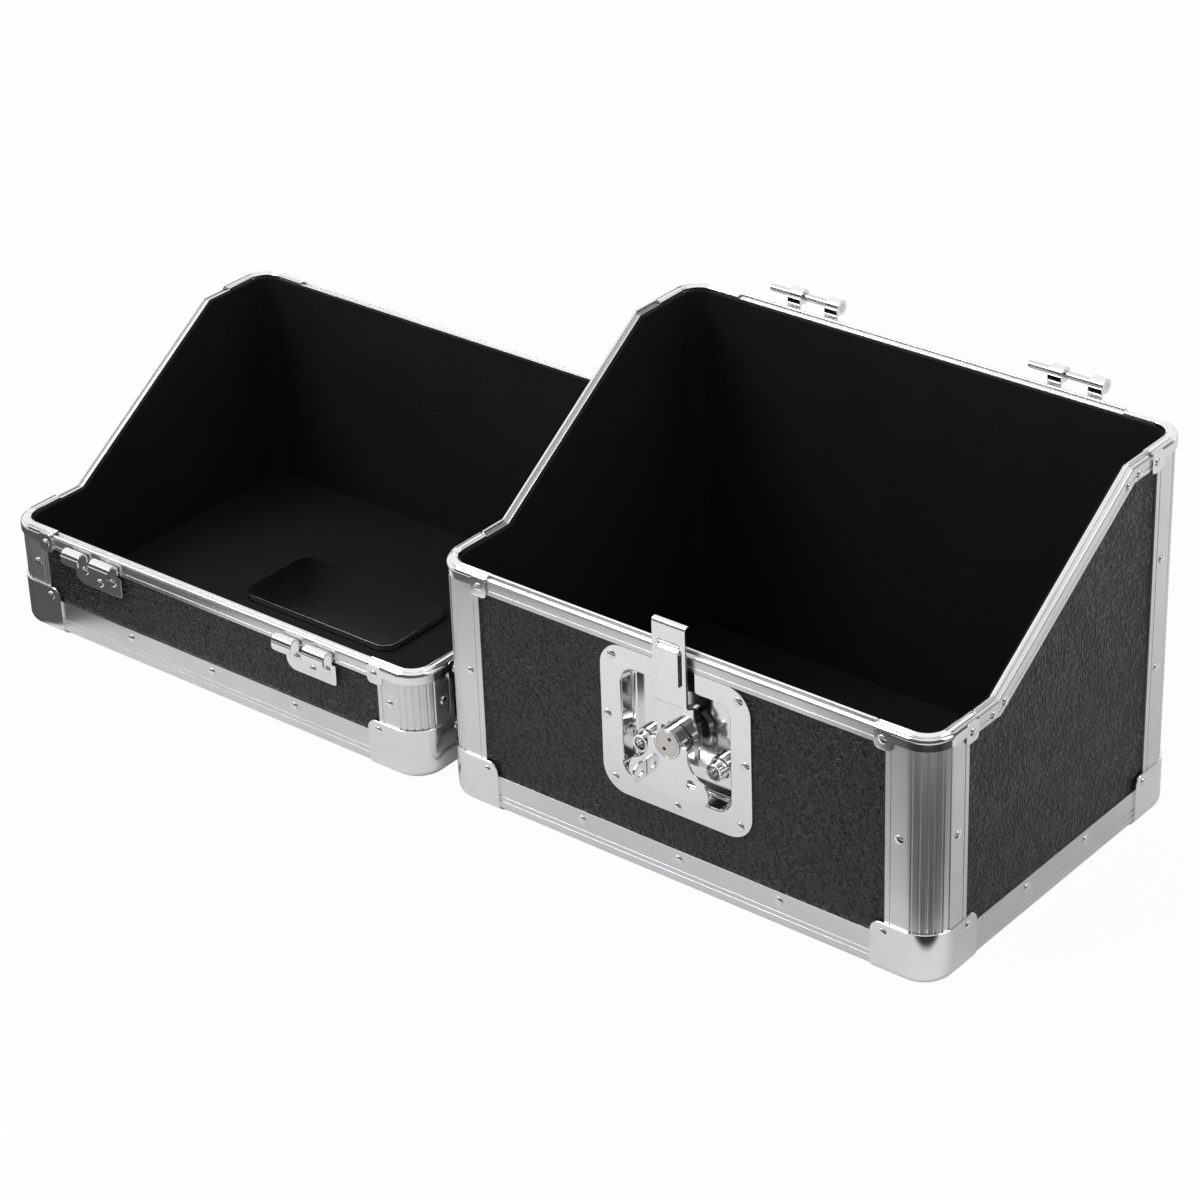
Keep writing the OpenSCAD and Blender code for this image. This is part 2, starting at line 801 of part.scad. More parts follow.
module latch_cam() {
    front = plate_y - barrel_gap;
    behind = plate_y + strap_t + retain_gap;
    dish_back = well_d + dish_t;
    color("#c4c6c8") in_tub() translate([0, -hd, spindle_z]) rotate([-90, 0, 0]) {
        translate([0, 0, front]) cylinder(h = dish_back + collar_t - front, r = spindle_r);
        translate([0, throw, front]) cylinder(h = behind - front, r = cam_r);
        translate([0, 0, behind]) cylinder(h = collar_t, r = cam_r + throw + 1);
        translate([0, 0, dish_back + 0.05]) cylinder(h = collar_t - 0.05, r = spindle_r + 2);
    }
}

// Drawn from the front face of the barrel, its height running inward along the spindle
module on_spindle() {
    in_tub() translate([0, -hd - barrel_out, spindle_z]) rotate([-90, 0, 0]) children();
}

module latch_barrel() {
    back = plate_y - barrel_gap;
    color("#d8dadc") on_spindle() difference() {
        cylinder(h = barrel_out + back, r = barrel_r);
        translate([0, 0, -1]) cylinder(h = plug_len + 1, r = plug_r + plug_play);
    }
}

module key_plug() {
    color("#b4b0a4") on_spindle() difference() {
        cylinder(h = plug_len, r = plug_r);
        for (a = [0, 180])
            rotate([0, 0, key_lean + a]) translate([key_pin_out, 0, -1]) cylinder(h = 5, r = key_pin_r);
    }
}

module wing_plan() {
    lobe_x = wing_half - lobe_r;
    lobe_z = -wing_drop + lobe_r;
    difference() {
        union() {
            for (e = [-1, 1])
                translate([e * lobe_x, lobe_z]) circle(lobe_r);
            translate([-lobe_x, -wing_drop]) square([2 * lobe_x, 2 * lobe_r]);
            polygon([[-wing_ear, 1.4], [wing_ear, 1.4], [lobe_x + lobe_r * 0.8, lobe_z + lobe_r * 0.6],
                [lobe_x, lobe_z], [-lobe_x, lobe_z], [-lobe_x - lobe_r * 0.8, lobe_z + lobe_r * 0.6]]);
        }
        for (e = [-1, 1])
            translate([e * waist_x, waist_z]) circle(waist_r);
        circle(barrel_r + 0.05);
        translate([eye_x, -eye_drop]) circle(wing_hole_r);
        translate([-eye_x, -eye_drop])
            square([eye_t + 2 * eye_play, eye_out], center = true);
    }
}

module latch_wing() {
    color("#e0e1e2") in_tub() translate([0, -hd - wing_out, spindle_z])
        rotate([90, 0, 0]) mirror([0, 0, 1]) linear_extrude(wing_t) wing_plan();
}

// Plate ring that stands in the wing's slot, held by a foot behind the wing
module padlock_eye() {
    ring_y = eye_r - eye_out;
    half = eye_out / 2 - eye_play;
    color("#d0d2d4") in_tub() translate([-eye_x, -hd - wing_out, spindle_z - eye_drop]) {
        along_x(-eye_t / 2, eye_t / 2) difference() {
            union() {
                translate([ring_y, 0]) circle(eye_r);
                translate([ring_y, -half]) square([wing_t + eye_foot[1] - ring_y, 2 * half]);
            }
            translate([ring_y, 0]) circle(eye_hole_r);
        }
        translate([-eye_t / 2, wing_t, -half]) cube([eye_foot[0], eye_foot[1], 2 * half]);
    }
}

// Half of a lift-off hinge: a leaf on the wall with curled knuckles
module lid_leaf() {
    axis_z = -hinge_off;
    translate([0, -leaf_t, 0]) rotate([90, 0, 0]) mirror([0, 0, 1]) linear_extrude(leaf_t)
        lid_leaf_plan();
    for (k = [knuckle_a, knuckle_b])
        translate([k[0], -hinge_off, axis_z]) rotate([0, 90, 0]) knuckle(k[1] - k[0]);
    for (k = [knuckle_a, knuckle_b])
        translate([k[0], -hinge_off + pin_r + 1, axis_z])
            cube([k[1] - k[0], hinge_off - pin_r - 1, knuckle_r]);
}

module lid_leaf_plan() {
    x0 = leaf_x[0];
    x1 = leaf_x[1];
    w = x1 - x0;
    translate([x0 + 8, -leaf_drop]) square([w - 8, leaf_drop - hinge_off]);
    translate([x0, -leaf_drop + 8]) square([w, leaf_drop - 8 - hinge_off]);
    translate([x0 + 8, -leaf_drop + 8]) circle(8);
    for (k = [knuckle_a, knuckle_b])
        translate([max(k[0], x0), -hinge_off - 1]) square([min(k[1], x1) - max(k[0], x0), 1 + knuckle_r]);
}

module knuckle(length) {
    difference() {
        cylinder(h = length, r = knuckle_r);
        translate([0, 0, -1]) cylinder(h = length + 2, r = pin_r + pin_play);
    }
}

// Tub half: its knuckles reach over the rim to the axis that the lid's rim brings down
module tub_leaf() {
    axis_z = closed_gap + hinge_off;
    drop = rim_flange + tub_leaf_drop;
    translate([tub_leaf_x, -leaf_t, -drop]) cube([stub_b[1] - tub_leaf_x, leaf_t, drop]);
    for (k = [stub_a, stub_b]) {
        translate([k[0], -leaf_t, -eps]) cube([k[1] - k[0], leaf_t, axis_z + eps]);
        translate([k[0], -hinge_off + pin_r + 1, axis_z - knuckle_r])
            cube([k[1] - k[0], hinge_off - pin_r - 1, knuckle_r]);
        translate([k[0], -hinge_off, axis_z]) rotate([0, 90, 0]) stub(k[1] - k[0]);
    }
}

module stub(length) {
    difference() {
        cylinder(h = length, r = knuckle_r);
        translate([0, 0, -1]) cylinder(h = length + 2, r = pin_r);
    }
}

// The back is side 2, where the run points to -X
module on_back_from_left(x, z) {
    translate([-hw + x, hd, z]) mirror([0, 1, 0]) children();
}

module tub_hinge(x) {
    color("#cfd1d3") in_tub() on_back_from_left(x, tub_low + rim_rise) tub_leaf();
}

module hinge_pins() {
    axis_z = tub_low + rim_rise + closed_gap + hinge_off;
    color("#c4c6c8") in_tub() for (x = [hinge_x, hinge_x + hinge_pitch])
        for (k = [[knuckle_a, stub_a], [knuckle_b, stub_b]])
            translate([-hw + x + k[0][0], hd + hinge_off, axis_z]) rotate([0, 90, 0])
                cylinder(h = k[1][1] - k[0][0], r = pin_r);
}

module lid_hinge(x) {
    color("#cfd1d3") in_lid() translate([-hw + x, -hd, lid_low]) lid_leaf();
}

module lid_keeper() {
    top = lid_low + rim_rise;
    catch = strap_rise - closed_gap - strap_t;
    color("#cfd1d3") in_lid() translate([0, hd, top]) {
        translate([-keeper_w / 2, 0, -keeper_h - 1]) cube([keeper_w, leaf_t, keeper_h]);
        translate([-keeper_w / 2 + 4, leaf_t, -catch + 0.3])
            cube([keeper_w - 8, keeper_lip - leaf_t, 5]);
    }
}

module lid_top() {
    color("#26262a") in_lid() difference() {
        floor_board();
        grip_hole(wall_t + 2);
    }
}

module lid_low_side() {
    color("#26262a") in_lid() straight_board(0, lid_low);
}

module lid_high_side() {
    color("#26262a") in_lid() straight_board(2, lid_low + rim_rise);
}

module lid_right() {
    color("#26262a") in_lid() right_board(lid_low);
}

module lid_left() {
    color("#26262a") in_lid() mirror([1, 0, 0]) right_board(lid_low);
}

module lid_lining() {
    color("#141416") in_lid() difference() {
        lining(lid_low);
        grip_hole(inset_in + 2);
    }
}

module lid_post(corner) {
    color("#c9cbcd") in_lid() post(corner, corner >= 2 ? lid_low + rim_rise : lid_low);
}

module lid_base(side) {
    color("#d2d4d6") in_lid() base_run(side);
}

module lid_rim_straight(side) {
    color("#d8dadc") in_lid() straight_rim(side, side == 2 ? lid_low + rim_rise : lid_low, true);
}

module lid_rim_right() {
    color("#d8dadc") in_lid() right_rim(lid_low, true);
}

module lid_rim_left() {
    color("#d8dadc") in_lid() mirror([1, 0, 0]) right_rim(lid_low, true);
}

module lid_rim_caps() {
    color("#e8e9ea") in_lid() rim_caps(lid_low);
}

module lid_ball_corners() {
    color("#e8e9ea") in_lid() ball_corners();
}

module lid_rivets() {
    color("#e4e5e6") in_lid() {
        box_rivets(lid_low, lid_rivet_z, lid_back_rivet_z);
        seam_rivets(lid_low);
        for (x = [0, hinge_pitch], p = leaf_rivets)
            head(0, hinge_x + x + p[0] - hw, lid_low - p[1], leaf_t);
        for (e = [-1, 1])
            head(2, e * keeper_w / 4, lid_low + rim_rise - keeper_h + 4, leaf_t);
    }
}

// Opening in the top board and lining for the recess of the handle
module grip_hole(t) {
    translate([0, 0, foot]) linear_extrude(t + 2)
        round_rect(grip_well_w + 2 * dish_t + 1, grip_well_d + 2 * dish_t + 1, well_r + dish_t);
}

module handle_dish() {
    color("#d6d8da") in_lid() translate([0, 0, foot]) {
        difference() {
            union() {
                linear_extrude(dish_t) round_rect(grip_dish_w, grip_dish_d, dish_r);
                linear_extrude(well_d + dish_t)
                    round_rect(grip_well_w + 2 * dish_t, grip_well_d + 2 * dish_t, well_r + dish_t);
            }
            translate([0, 0, -1]) linear_extrude(well_d + 1) round_rect(grip_well_w, grip_well_d, well_r);
        }
        for (e = [-1, 1])
            translate([e * (bail_x + bail_r + ear_t / 2 + ear_gap), grip_pivot_y, 0]) handle_ear();
    }
}

module handle_ear() {
    difference() {
        translate([-ear_t / 2, -4, 1.5]) cube([ear_t, 8, well_d - 1.5 + eps]);
        translate([-ear_t, 0, grip_z - foot]) rotate([0, 90, 0])
            cylinder(h = 2 * ear_t, r = bail_r + bail_play);
    }
}

module handle_bail() {
    pin_end = bail_x + bail_r + ear_gap + ear_t;
    color("#c4c6c8") in_lid() translate([0, 0, grip_z]) for (e = [-1, 1]) {
        translate([e * bail_x, -grip_pivot_y, 0]) rotate([-90, 0, 0])
            cylinder(h = bail_arm, r = bail_r);
        translate([e * bail_x, grip_pivot_y, 0]) rotate([0, e * 90, 0])
            cylinder(h = pin_end - bail_x, r = bail_r);
        translate([e * bail_x, grip_pivot_y, 0]) sphere(bail_r);
        translate([e * bail_x, -grip_pivot_y, 0]) sphere(bail_r);
    }
    color("#c4c6c8") in_lid() translate([-bail_x, -grip_pivot_y, grip_z]) rotate([0, 90, 0])
        cylinder(h = 2 * bail_x, r = bail_r);
}

module handle_grip() {
    color("#1c1c1e") in_lid() translate([-grip_len / 2, -grip_pivot_y, grip_z]) rotate([0, 90, 0])
        difference() {
            cylinder(h = grip_len, r = grip_r);
            translate([0, 0, -1]) cylinder(h = grip_len + 2, r = bail_r + bail_play);
        }
}

tub_floor();
tub_front();
tub_back();
tub_left();
tub_right();
tub_lining();
tub_post(0);  // tub_post_front_left
tub_post(1);  // tub_post_front_right
tub_post(2);  // tub_post_back_right
tub_post(3);  // tub_post_back_left
tub_base(0);  // tub_base_front
tub_base(1);  // tub_base_right
tub_base(2);  // tub_base_back
tub_base(3);  // tub_base_left
tub_rim_straight(0);  // tub_rim_front
tub_rim_straight(2);  // tub_rim_back
tub_rim_right();
tub_rim_left();
tub_rim_caps();
tub_ball_corners();
tub_rivets();
latch_dish();
latch_bosses();
hook_strap();
latch_cam();
latch_barrel();
key_plug();
latch_wing();
padlock_eye();
tub_hinge(hinge_x);  // tub_hinge_left
tub_hinge(hinge_x + hinge_pitch);  // tub_hinge_right
hinge_pins();
lid_top();
lid_low_side();
lid_high_side();
lid_left();
lid_right();
lid_lining();
lid_post(0);  // lid_post_low_left
lid_post(1);  // lid_post_low_right
lid_post(2);  // lid_post_high_right
lid_post(3);  // lid_post_high_left
lid_base(0);  // lid_base_low
lid_base(1);  // lid_base_right
lid_base(2);  // lid_base_high
lid_base(3);  // lid_base_left
lid_rim_straight(0);  // lid_rim_low
lid_rim_straight(2);  // lid_rim_high
lid_rim_right();
lid_rim_left();
lid_rim_caps();
lid_ball_corners();
lid_rivets();
lid_hinge(hinge_x);  // lid_hinge_left
lid_hinge(hinge_x + hinge_pitch);  // lid_hinge_right
lid_keeper();
handle_dish();
handle_bail();
handle_grip();
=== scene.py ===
import bpy
import bmesh
import json
from math import cos, hypot, pi, radians, sin
from mathutils import Matrix, Vector


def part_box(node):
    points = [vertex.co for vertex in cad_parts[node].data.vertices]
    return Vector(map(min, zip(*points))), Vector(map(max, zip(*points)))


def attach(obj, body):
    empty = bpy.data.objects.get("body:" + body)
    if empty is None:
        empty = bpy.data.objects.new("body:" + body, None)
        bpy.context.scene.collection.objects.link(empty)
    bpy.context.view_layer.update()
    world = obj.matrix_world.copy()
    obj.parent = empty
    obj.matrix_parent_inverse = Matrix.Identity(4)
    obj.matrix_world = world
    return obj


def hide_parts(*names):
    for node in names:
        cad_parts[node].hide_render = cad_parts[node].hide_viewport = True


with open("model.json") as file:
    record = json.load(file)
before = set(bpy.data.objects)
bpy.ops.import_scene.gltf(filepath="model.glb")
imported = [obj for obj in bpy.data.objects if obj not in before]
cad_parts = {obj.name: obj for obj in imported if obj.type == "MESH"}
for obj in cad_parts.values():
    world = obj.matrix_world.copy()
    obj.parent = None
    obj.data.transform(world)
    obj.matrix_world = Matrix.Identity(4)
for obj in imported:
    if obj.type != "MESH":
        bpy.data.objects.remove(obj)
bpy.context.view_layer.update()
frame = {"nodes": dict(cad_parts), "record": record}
nodes = frame["nodes"]
mm = 0.001
cadWeld = 0.002 * mm  # corners nearer than this are one, in a mesh of the model
madeWeld = 0.001 * mm  # and in a mesh made here
print("scene: packed model loaded")


# Node trees are wired with this small helper
class Net:
    def __init__(self, tree):
        self.tree = tree

    def add(self, kind, inputs=None, **settings):
        node = self.tree.nodes.new(kind)
        for key, value in settings.items():
            setattr(node, key, value)
        for key, value in (inputs or {}).items():
            if isinstance(value, bpy.types.NodeSocket):
                self.tree.links.new(value, node.inputs[key])
            else:
                node.inputs[key].default_value = value
        return node

    def math(self, operation, a, b=None, clamp=False):
        inputs = {0: a} if b is None else {0: a, 1: b}
        return self.add("ShaderNodeMath", inputs, operation=operation, use_clamp=clamp).outputs[0]

    def span(self, value, low, high, toLow=0.0, toHigh=1.0):  # a smooth step from low to high
        inputs = {"Value": value, "From Min": low, "From Max": high, "To Min": toLow, "To Max": toHigh}
        return self.add("ShaderNodeMapRange", inputs, interpolation_type="SMOOTHSTEP").outputs[0]

    def mixColour(self, share, first, second):
        inputs = {0: share, 6: first, 7: second}
        return self.add("ShaderNodeMix", inputs, data_type="RGBA").outputs[2]

    def noise(self, vector, scale, detail=2.0, rough=0.5, distortion=0.0):
        inputs = {"Vector": vector, "Scale": scale, "Detail": detail, "Roughness": rough,
                  "Distortion": distortion}
        return self.add("ShaderNodeTexNoise", inputs).outputs["Fac"]

    def stretched(self, vector, factors):
        inputs = {"Vector": vector, "Scale": factors}
        return self.add("ShaderNodeMapping", inputs).outputs[0]

    def link(self, output, socket):
        self.tree.links.new(output, socket)


def newGroup(name, inputs, outputs, kind="ShaderNodeTree"):
    tree = bpy.data.node_groups.new(name, kind)
    for label, socketType, value in inputs:
        socket = tree.interface.new_socket(label, in_out="INPUT", socket_type=socketType)
        if value is not None:
            socket.default_value = value
    for label, socketType in outputs:
        tree.interface.new_socket(label, in_out="OUTPUT", socket_type=socketType)
    return tree, Net(tree), tree.nodes.new("NodeGroupInput"), tree.nodes.new("NodeGroupOutput")


# Worm-like wrinkles of the embossed laminate: short grooves between flat islands
def buildLeatherGrain():
    tree, net, given, out = newGroup(
        "leatherGrain",
        [("Vector", "NodeSocketVector", None), ("Size", "NodeSocketFloat", 260.0),
         ("Run", "NodeSocketFloat", 0.55), ("Width", "NodeSocketFloat", 0.07)],
        [("Height", "NodeSocketFloat"), ("Groove", "NodeSocketFloat"), ("Fleck", "NodeSocketFloat")])
    factors = net.add("ShaderNodeCombineXYZ", {0: given.outputs["Run"], 1: given.outputs["Run"], 2: 1.0})
    lying = net.add("ShaderNodeVectorMath", {0: given.outputs["Vector"], 1: factors.outputs[0]},
                    operation="MULTIPLY").outputs[0]
    worm = net.noise(lying, given.outputs["Size"], detail=1.0, rough=0.4, distortion=0.35)
    ridge = net.math("ABSOLUTE", net.math("SUBTRACT", worm, 0.5))
    breaks = net.noise(given.outputs["Vector"], net.math("MULTIPLY", given.outputs["Size"], 0.3), detail=1.0)
    width = net.math("MULTIPLY", given.outputs["Width"], net.span(breaks, 0.3, 0.6, 0.45, 1.25))
    plateau = net.add("ShaderNodeMapRange", {"Value": ridge, "From Min": 0.0, "From Max": width},
                      interpolation_type="SMOOTHSTEP").outputs[0]
    groove = net.math("SUBTRACT", 1.0, plateau)
    fine = net.noise(given.outputs["Vector"], net.math("MULTIPLY", given.outputs["Size"], 4.5), detail=2.0)
    height = net.math("SUBTRACT", net.math("MULTIPLY", fine, 0.2), groove)
    speck = net.noise(given.outputs["Vector"], net.math("MULTIPLY", given.outputs["Size"], 2.6), detail=0.0)
    net.link(height, out.inputs["Height"])
    net.link(groove, out.inputs["Groove"])
    net.link(net.span(speck, 0.76, 0.84), out.inputs["Fleck"])
    return tree


# Long drawing marks along an extrusion and soft clouds of handling
def buildDrawnMetal():
    tree, net, given, out = newGroup(
        "drawnMetal",
        [("Vector", "NodeSocketVector", None), ("Line Scale", "NodeSocketVector", (1400.0, 1400.0, 6.0)),
         ("Cloud Size", "NodeSocketFloat", 26.0)],
        [("Lines", "NodeSocketFloat"), ("Clouds", "NodeSocketFloat"), ("Grain", "NodeSocketFloat")])
    lying = net.add("ShaderNodeVectorMath", {0: given.outputs["Vector"], 1: given.outputs["Line Scale"]},
                    operation="MULTIPLY").outputs[0]
    net.link(net.noise(lying, 1.0, detail=2.5, rough=0.6), out.inputs["Lines"])
    net.link(net.noise(given.outputs["Vector"], given.outputs["Cloud Size"], detail=4.0, rough=0.6),
             out.inputs["Clouds"])
    net.link(net.noise(given.outputs["Vector"], 1900.0, detail=1.0), out.inputs["Grain"])
    return tree


leatherGrain = buildLeatherGrain()
drawnMetal = buildDrawnMetal()


def newMaterial(name, plain):  # plain holds values of the shader's own sockets
    made = bpy.data.materials.new(name)
    made.use_nodes = True
    bsdf = made.node_tree.nodes["Principled BSDF"]
    for socket, value in plain.items():
        bsdf.inputs[socket].default_value = value
    net = Net(made.node_tree)
    return made, net, bsdf, net.add("ShaderNodeTexCoord").outputs["Object"]


def useGroup(net, tree, inputs):
    group = net.add("ShaderNodeGroup", node_tree=tree)
    for key, value in inputs.items():
        if isinstance(value, bpy.types.NodeSocket):
            net.link(value, group.inputs[key])
        else:
            group.inputs[key].default_value = value
    return group.outputs


def bump(net, bsdf, height, distance, strength=1.0):
    made = net.add("ShaderNodeBump", {"Height": height, "Distance": distance, "Strength": strength})
    net.link(made.outputs[0], bsdf.inputs["Normal"])


# The darkest tone is painted shade laid into the grain's grooves; island and worn are the board's own tones
laminate = {"island": (0.0105, 0.0088, 0.0098, 1), "worn": (0.014, 0.0118, 0.0128, 1),
            "shadedPit": (0.0022, 0.0018, 0.002, 1), "size": 330.0, "run": 1.0, "width": 0.15, "relief": 0.001}


def laminateMaterial(name, stretch):
    made, net, bsdf, place = newMaterial(name, {"Specular IOR Level": 0.5})
    grain = useGroup(net, leatherGrain, {"Vector": net.stretched(place, stretch), "Size": laminate["size"],
                                         "Run": laminate["run"], "Width": laminate["width"]})
    cloud = net.noise(place, 14.0, detail=3.0)
    tone = net.mixColour(net.span(cloud, 0.3, 0.7, 0.0, 0.35), laminate["island"], laminate["worn"])
    # Painted shade: the grain's grooves are darkened towards the darkest tone
    tone = net.mixColour(grain["Groove"], tone, laminate["shadedPit"])
    net.link(tone, bsdf.inputs["Base Color"])
    rough = net.math("ADD", net.span(cloud, 0.3, 0.7, 0.24, 0.3), net.math("MULTIPLY", grain["Groove"], 0.2))
    shine = net.math("MULTIPLY", grain["Fleck"], 0.12)
    net.link(net.math("SUBTRACT", rough, shine), bsdf.inputs["Roughness"])
    bump(net, bsdf, grain["Height"], laminate["relief"])
    return made


def metalMaterial(name, colour, rough, lines, lineDepth=0.0, wobble=0.0, cloudSize=26.0):
    made, net, bsdf, place = newMaterial(name, {"Metallic": 1.0})
    marks = useGroup(net, drawnMetal, {"Vector": place, "Line Scale": lines, "Cloud Size": cloudSize})
    dull = tuple(0.96 * c for c in colour) + (1,)
    net.link(net.mixColour(net.span(marks["Clouds"], 0.35, 0.7), tuple(colour) + (1,), dull),
             bsdf.inputs["Base Color"])
    spread = net.math("MULTIPLY", net.math("SUBTRACT", marks["Lines"], 0.5), 0.16 * rough + 0.02)
    rise = net.span(marks["Clouds"], 0.3, 0.8, 0.92 * rough, 1.12 * rough)
    net.link(net.math("ADD", rise, spread, clamp=True), bsdf.inputs["Roughness"])
    relief = net.math("ADD", net.math("MULTIPLY", marks["Lines"], lineDepth),
                      net.math("MULTIPLY", marks["Clouds"], wobble))
    bump(net, bsdf, relief, 0.001)
    return made


def liningMaterial():
    made, net, bsdf, place = newMaterial("liningFoam", {"Specular IOR Level": 0.25})
    fibre = net.noise(place, 900.0, detail=3.0, rough=0.65)
    cloud = net.noise(place, 22.0, detail=3.0)
    net.link(net.mixColour(cloud, (0.0042, 0.0042, 0.0045, 1), (0.0092, 0.0091, 0.0094, 1)),
             bsdf.inputs["Base Color"])
    net.link(net.span(fibre, 0.3, 0.7, 0.72, 0.92), bsdf.inputs["Roughness"])
    bump(net, bsdf, fibre, 0.00012)
    return made


def rubberMaterial():
    made, net, bsdf, place = newMaterial("gripRubber", {"Specular IOR Level": 0.4})
    pebble = net.noise(place, 1300.0, detail=2.0)
    cloud = net.noise(place, 60.0, detail=3.0)
    net.link(net.mixColour(cloud, (0.012, 0.012, 0.013, 1), (0.026, 0.026, 0.027, 1)),
             bsdf.inputs["Base Color"])
    net.link(net.span(cloud, 0.3, 0.7, 0.48, 0.66), bsdf.inputs["Roughness"])
    bump(net, bsdf, pebble, 0.00008)
    return made


satin = (0.8, 0.805, 0.815)
plated = (0.89, 0.89, 0.9)
finishes = {
    "laminated_board": laminateMaterial("laminatedBoard", (0.6, 1, 1)),
    "lining_foam": liningMaterial(),
    "post_aluminium": metalMaterial("postAluminium", satin, 0.37, (1500, 1500, 4), 0.0008),
    "edge_aluminium": metalMaterial("edgeAluminium", satin, 0.33, (4, 1500, 1500), 0.0008),
    "rim_aluminium": metalMaterial("rimAluminium", satin, 0.29, (4, 1500, 1500), 0.0006),
    "plated_fitting": metalMaterial("platedFitting", plated, 0.1, (400, 400, 400), 0.0, 0.03, 32.0),
    "plated_latch": metalMaterial("platedLatch", plated, 0.11, (400, 400, 400), 0.0, 0.02, 70.0),
    "rivet_steel": metalMaterial("rivetSteel", plated, 0.12, (500, 500, 500), 0.0, 0.02, 200.0),
    "steel_wire": metalMaterial("steelWire", (0.72, 0.72, 0.73), 0.18, (300, 300, 300), 0.0, 0.01, 120.0),
    "key_plug_brass": metalMaterial("keyPlugBrass", (0.66, 0.63, 0.58), 0.2, (900, 900, 900), 0.002),
    "grip_rubber": rubberMaterial(),
}
sideLaminate = laminateMaterial("sideLaminate", (1, 0.95, 0.6))
sideEdge = metalMaterial("sideEdgeAluminium", satin, 0.33, (1500, 4, 1500), 0.0008)
sideRim = metalMaterial("sideRimAluminium", satin, 0.29, (1500, 4, 1500), 0.0006)
print("scene: finishes built")

slotOf = {part["node"]: part["material_slot"] for part in frame["record"]["subparts"]}
bodyOf = {node: body for body, members in frame["record"]["behaviour"]["bodies"].items() for node in members}


def finishOf(name):
    sideways = name.endswith("_left") or name.endswith("_right")
    if slotOf[name] == "laminated_board" and sideways:
        return sideLaminate
    if "_base_" in name and sideways:
        return sideEdge
    if "_rim_" in name and sideways:
        return sideRim
    return finishes[slotOf[name]]


def newObject(name, data):
    made = bpy.data.objects.new(name, data)
    bpy.context.scene.collection.objects.link(made)
    return made


def addPiece(name, mesh, material, body, stands=()):
    piece = newObject(name, mesh)
    mesh.materials.clear()
    mesh.materials.append(material)
    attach(piece, body)
    if stands:
        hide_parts(*stands)
    return piece


# A merged copy of a CAD node, its flat faces joined; a lining isn't joined, or its openings close
def mergedCopy(name):
    work = bmesh.new()
    work.from_mesh(nodes[name].data)
    bmesh.ops.remove_doubles(work, verts=work.verts, dist=cadWeld)
    if slotOf[name] != "lining_foam":
        bmesh.ops.dissolve_limit(work, angle_limit=radians(0.6), verts=work.verts, edges=work.edges)
    mesh = bpy.data.meshes.new(name + "Mesh")
    work.to_mesh(mesh)
    work.free()
    for layer in [a for a in mesh.attributes if a.name in ("custom_normal", "sharp_face", "sharp_edge")]:
        mesh.attributes.remove(layer)
    return mesh


def settle(holder, name):  # the holder's modifiers become a plain mesh
    depsgraph = bpy.context.evaluated_depsgraph_get()
    made = bpy.data.meshes.new_from_object(holder.evaluated_get(depsgraph), depsgraph=depsgraph)
    made.name = name
    bpy.data.objects.remove(holder)
    return made


def softened(mesh, width, segments=2, angle=32.0):
    for face in mesh.polygons:
        face.use_smooth = True
    mesh.set_sharp_from_angle(angle=radians(angle))
    holder = newObject("holder", mesh)
    bevel = holder.modifiers.new("edge", "BEVEL")
    bevel.width = width
    bevel.segments = segments
    bevel.limit_method = "ANGLE"
    bevel.angle_limit = radians(angle)
    bevel.harden_normals = True
    bevel.miter_outer = "MITER_ARC"
    return settle(holder, mesh.name)


# Width of the rounded edges in mm, by slot; the eccentric's are finer, as they run close to the dish
edgeWidth = {"laminated_board": 0.25, "edge_aluminium": 0.2, "rim_aluminium": 0.2, "plated_latch": 0.25,
             "steel_wire": 0.25, "key_plug_brass": 0.3, "grip_rubber": 0.6, "lining_foam": 0.4,
             "latch_cam": 0.1}


def dressNode(name):
    slot = slotOf[name]
    mesh = softened(mergedCopy(name), edgeWidth.get(name, edgeWidth[slot]) * mm)
    return addPiece(name + "_finish", mesh, finishOf(name), bodyOf[name], [name])


modelled = set()  # nodes that get a modelled piece instead of their dressed CAD mesh


def newPiece(name, meshes, stands):  # one modelled piece for the named nodes, on their body and in their slot
    modelled.update(stands)
    slot = slotOf[stands[0]]
    mesh = joined(name + "Mesh", meshes, True)
    return addPiece(name, mesh, finishes[slot], bodyOf[stands[0]], stands)


def joined(name, meshes, weighted=False):  # welds coincident corners, shades smoothly up to the crease angle
    work = bmesh.new()
    for mesh in meshes:
        work.from_mesh(mesh)
    bmesh.ops.remove_doubles(work, verts=work.verts, dist=madeWeld)
    whole = bpy.data.meshes.new(name)
    work.to_mesh(whole)
    work.free()
    for layer in [a for a in whole.attributes if a.name == "custom_normal"]:
        whole.attributes.remove(layer)
    for face in whole.polygons:
        face.use_smooth = True
    whole.set_sharp_from_angle(angle=radians(38))
    if not weighted:
        return whole
    holder = newObject("holder", whole)
    flat = holder.modifiers.new("flat", "WEIGHTED_NORMAL")
    flat.keep_sharp = True
    return settle(holder, name)


def loft(name, rings, closed=False):  # quads between rings of corners in mm; closed joins last to first
    work = bmesh.new()
    rows = [[work.verts.new(Vector(point) * mm) for point in ring] for ring in rings]
    count = len(rows[0])
    pairs = list(zip(rows, rows[1:])) + ([(rows[-1], rows[0])] if closed else [])
    for first, second in pairs:
        for i in range(count):
            j = (i + 1) % count
            work.faces.new((first[i], first[j], second[j], second[i]))
    if not closed:
        work.faces.new(rows[0])
        work.faces.new(rows[-1])
    bmesh.ops.remove_doubles(work, verts=work.verts, dist=madeWeld)
    bmesh.ops.recalc_face_normals(work, faces=work.faces)
    mesh = bpy.data.meshes.new(name)
    work.to_mesh(mesh)
    work.free()
    return mesh


def arc(centre, radius, first, last, steps):  # points in degrees from first to last
    return [(centre[0] + radius * cos(radians(first + (last - first) * i / steps)),
             centre[1] + radius * sin(radians(first + (last - first) * i / steps))) for i in range(steps + 1)]


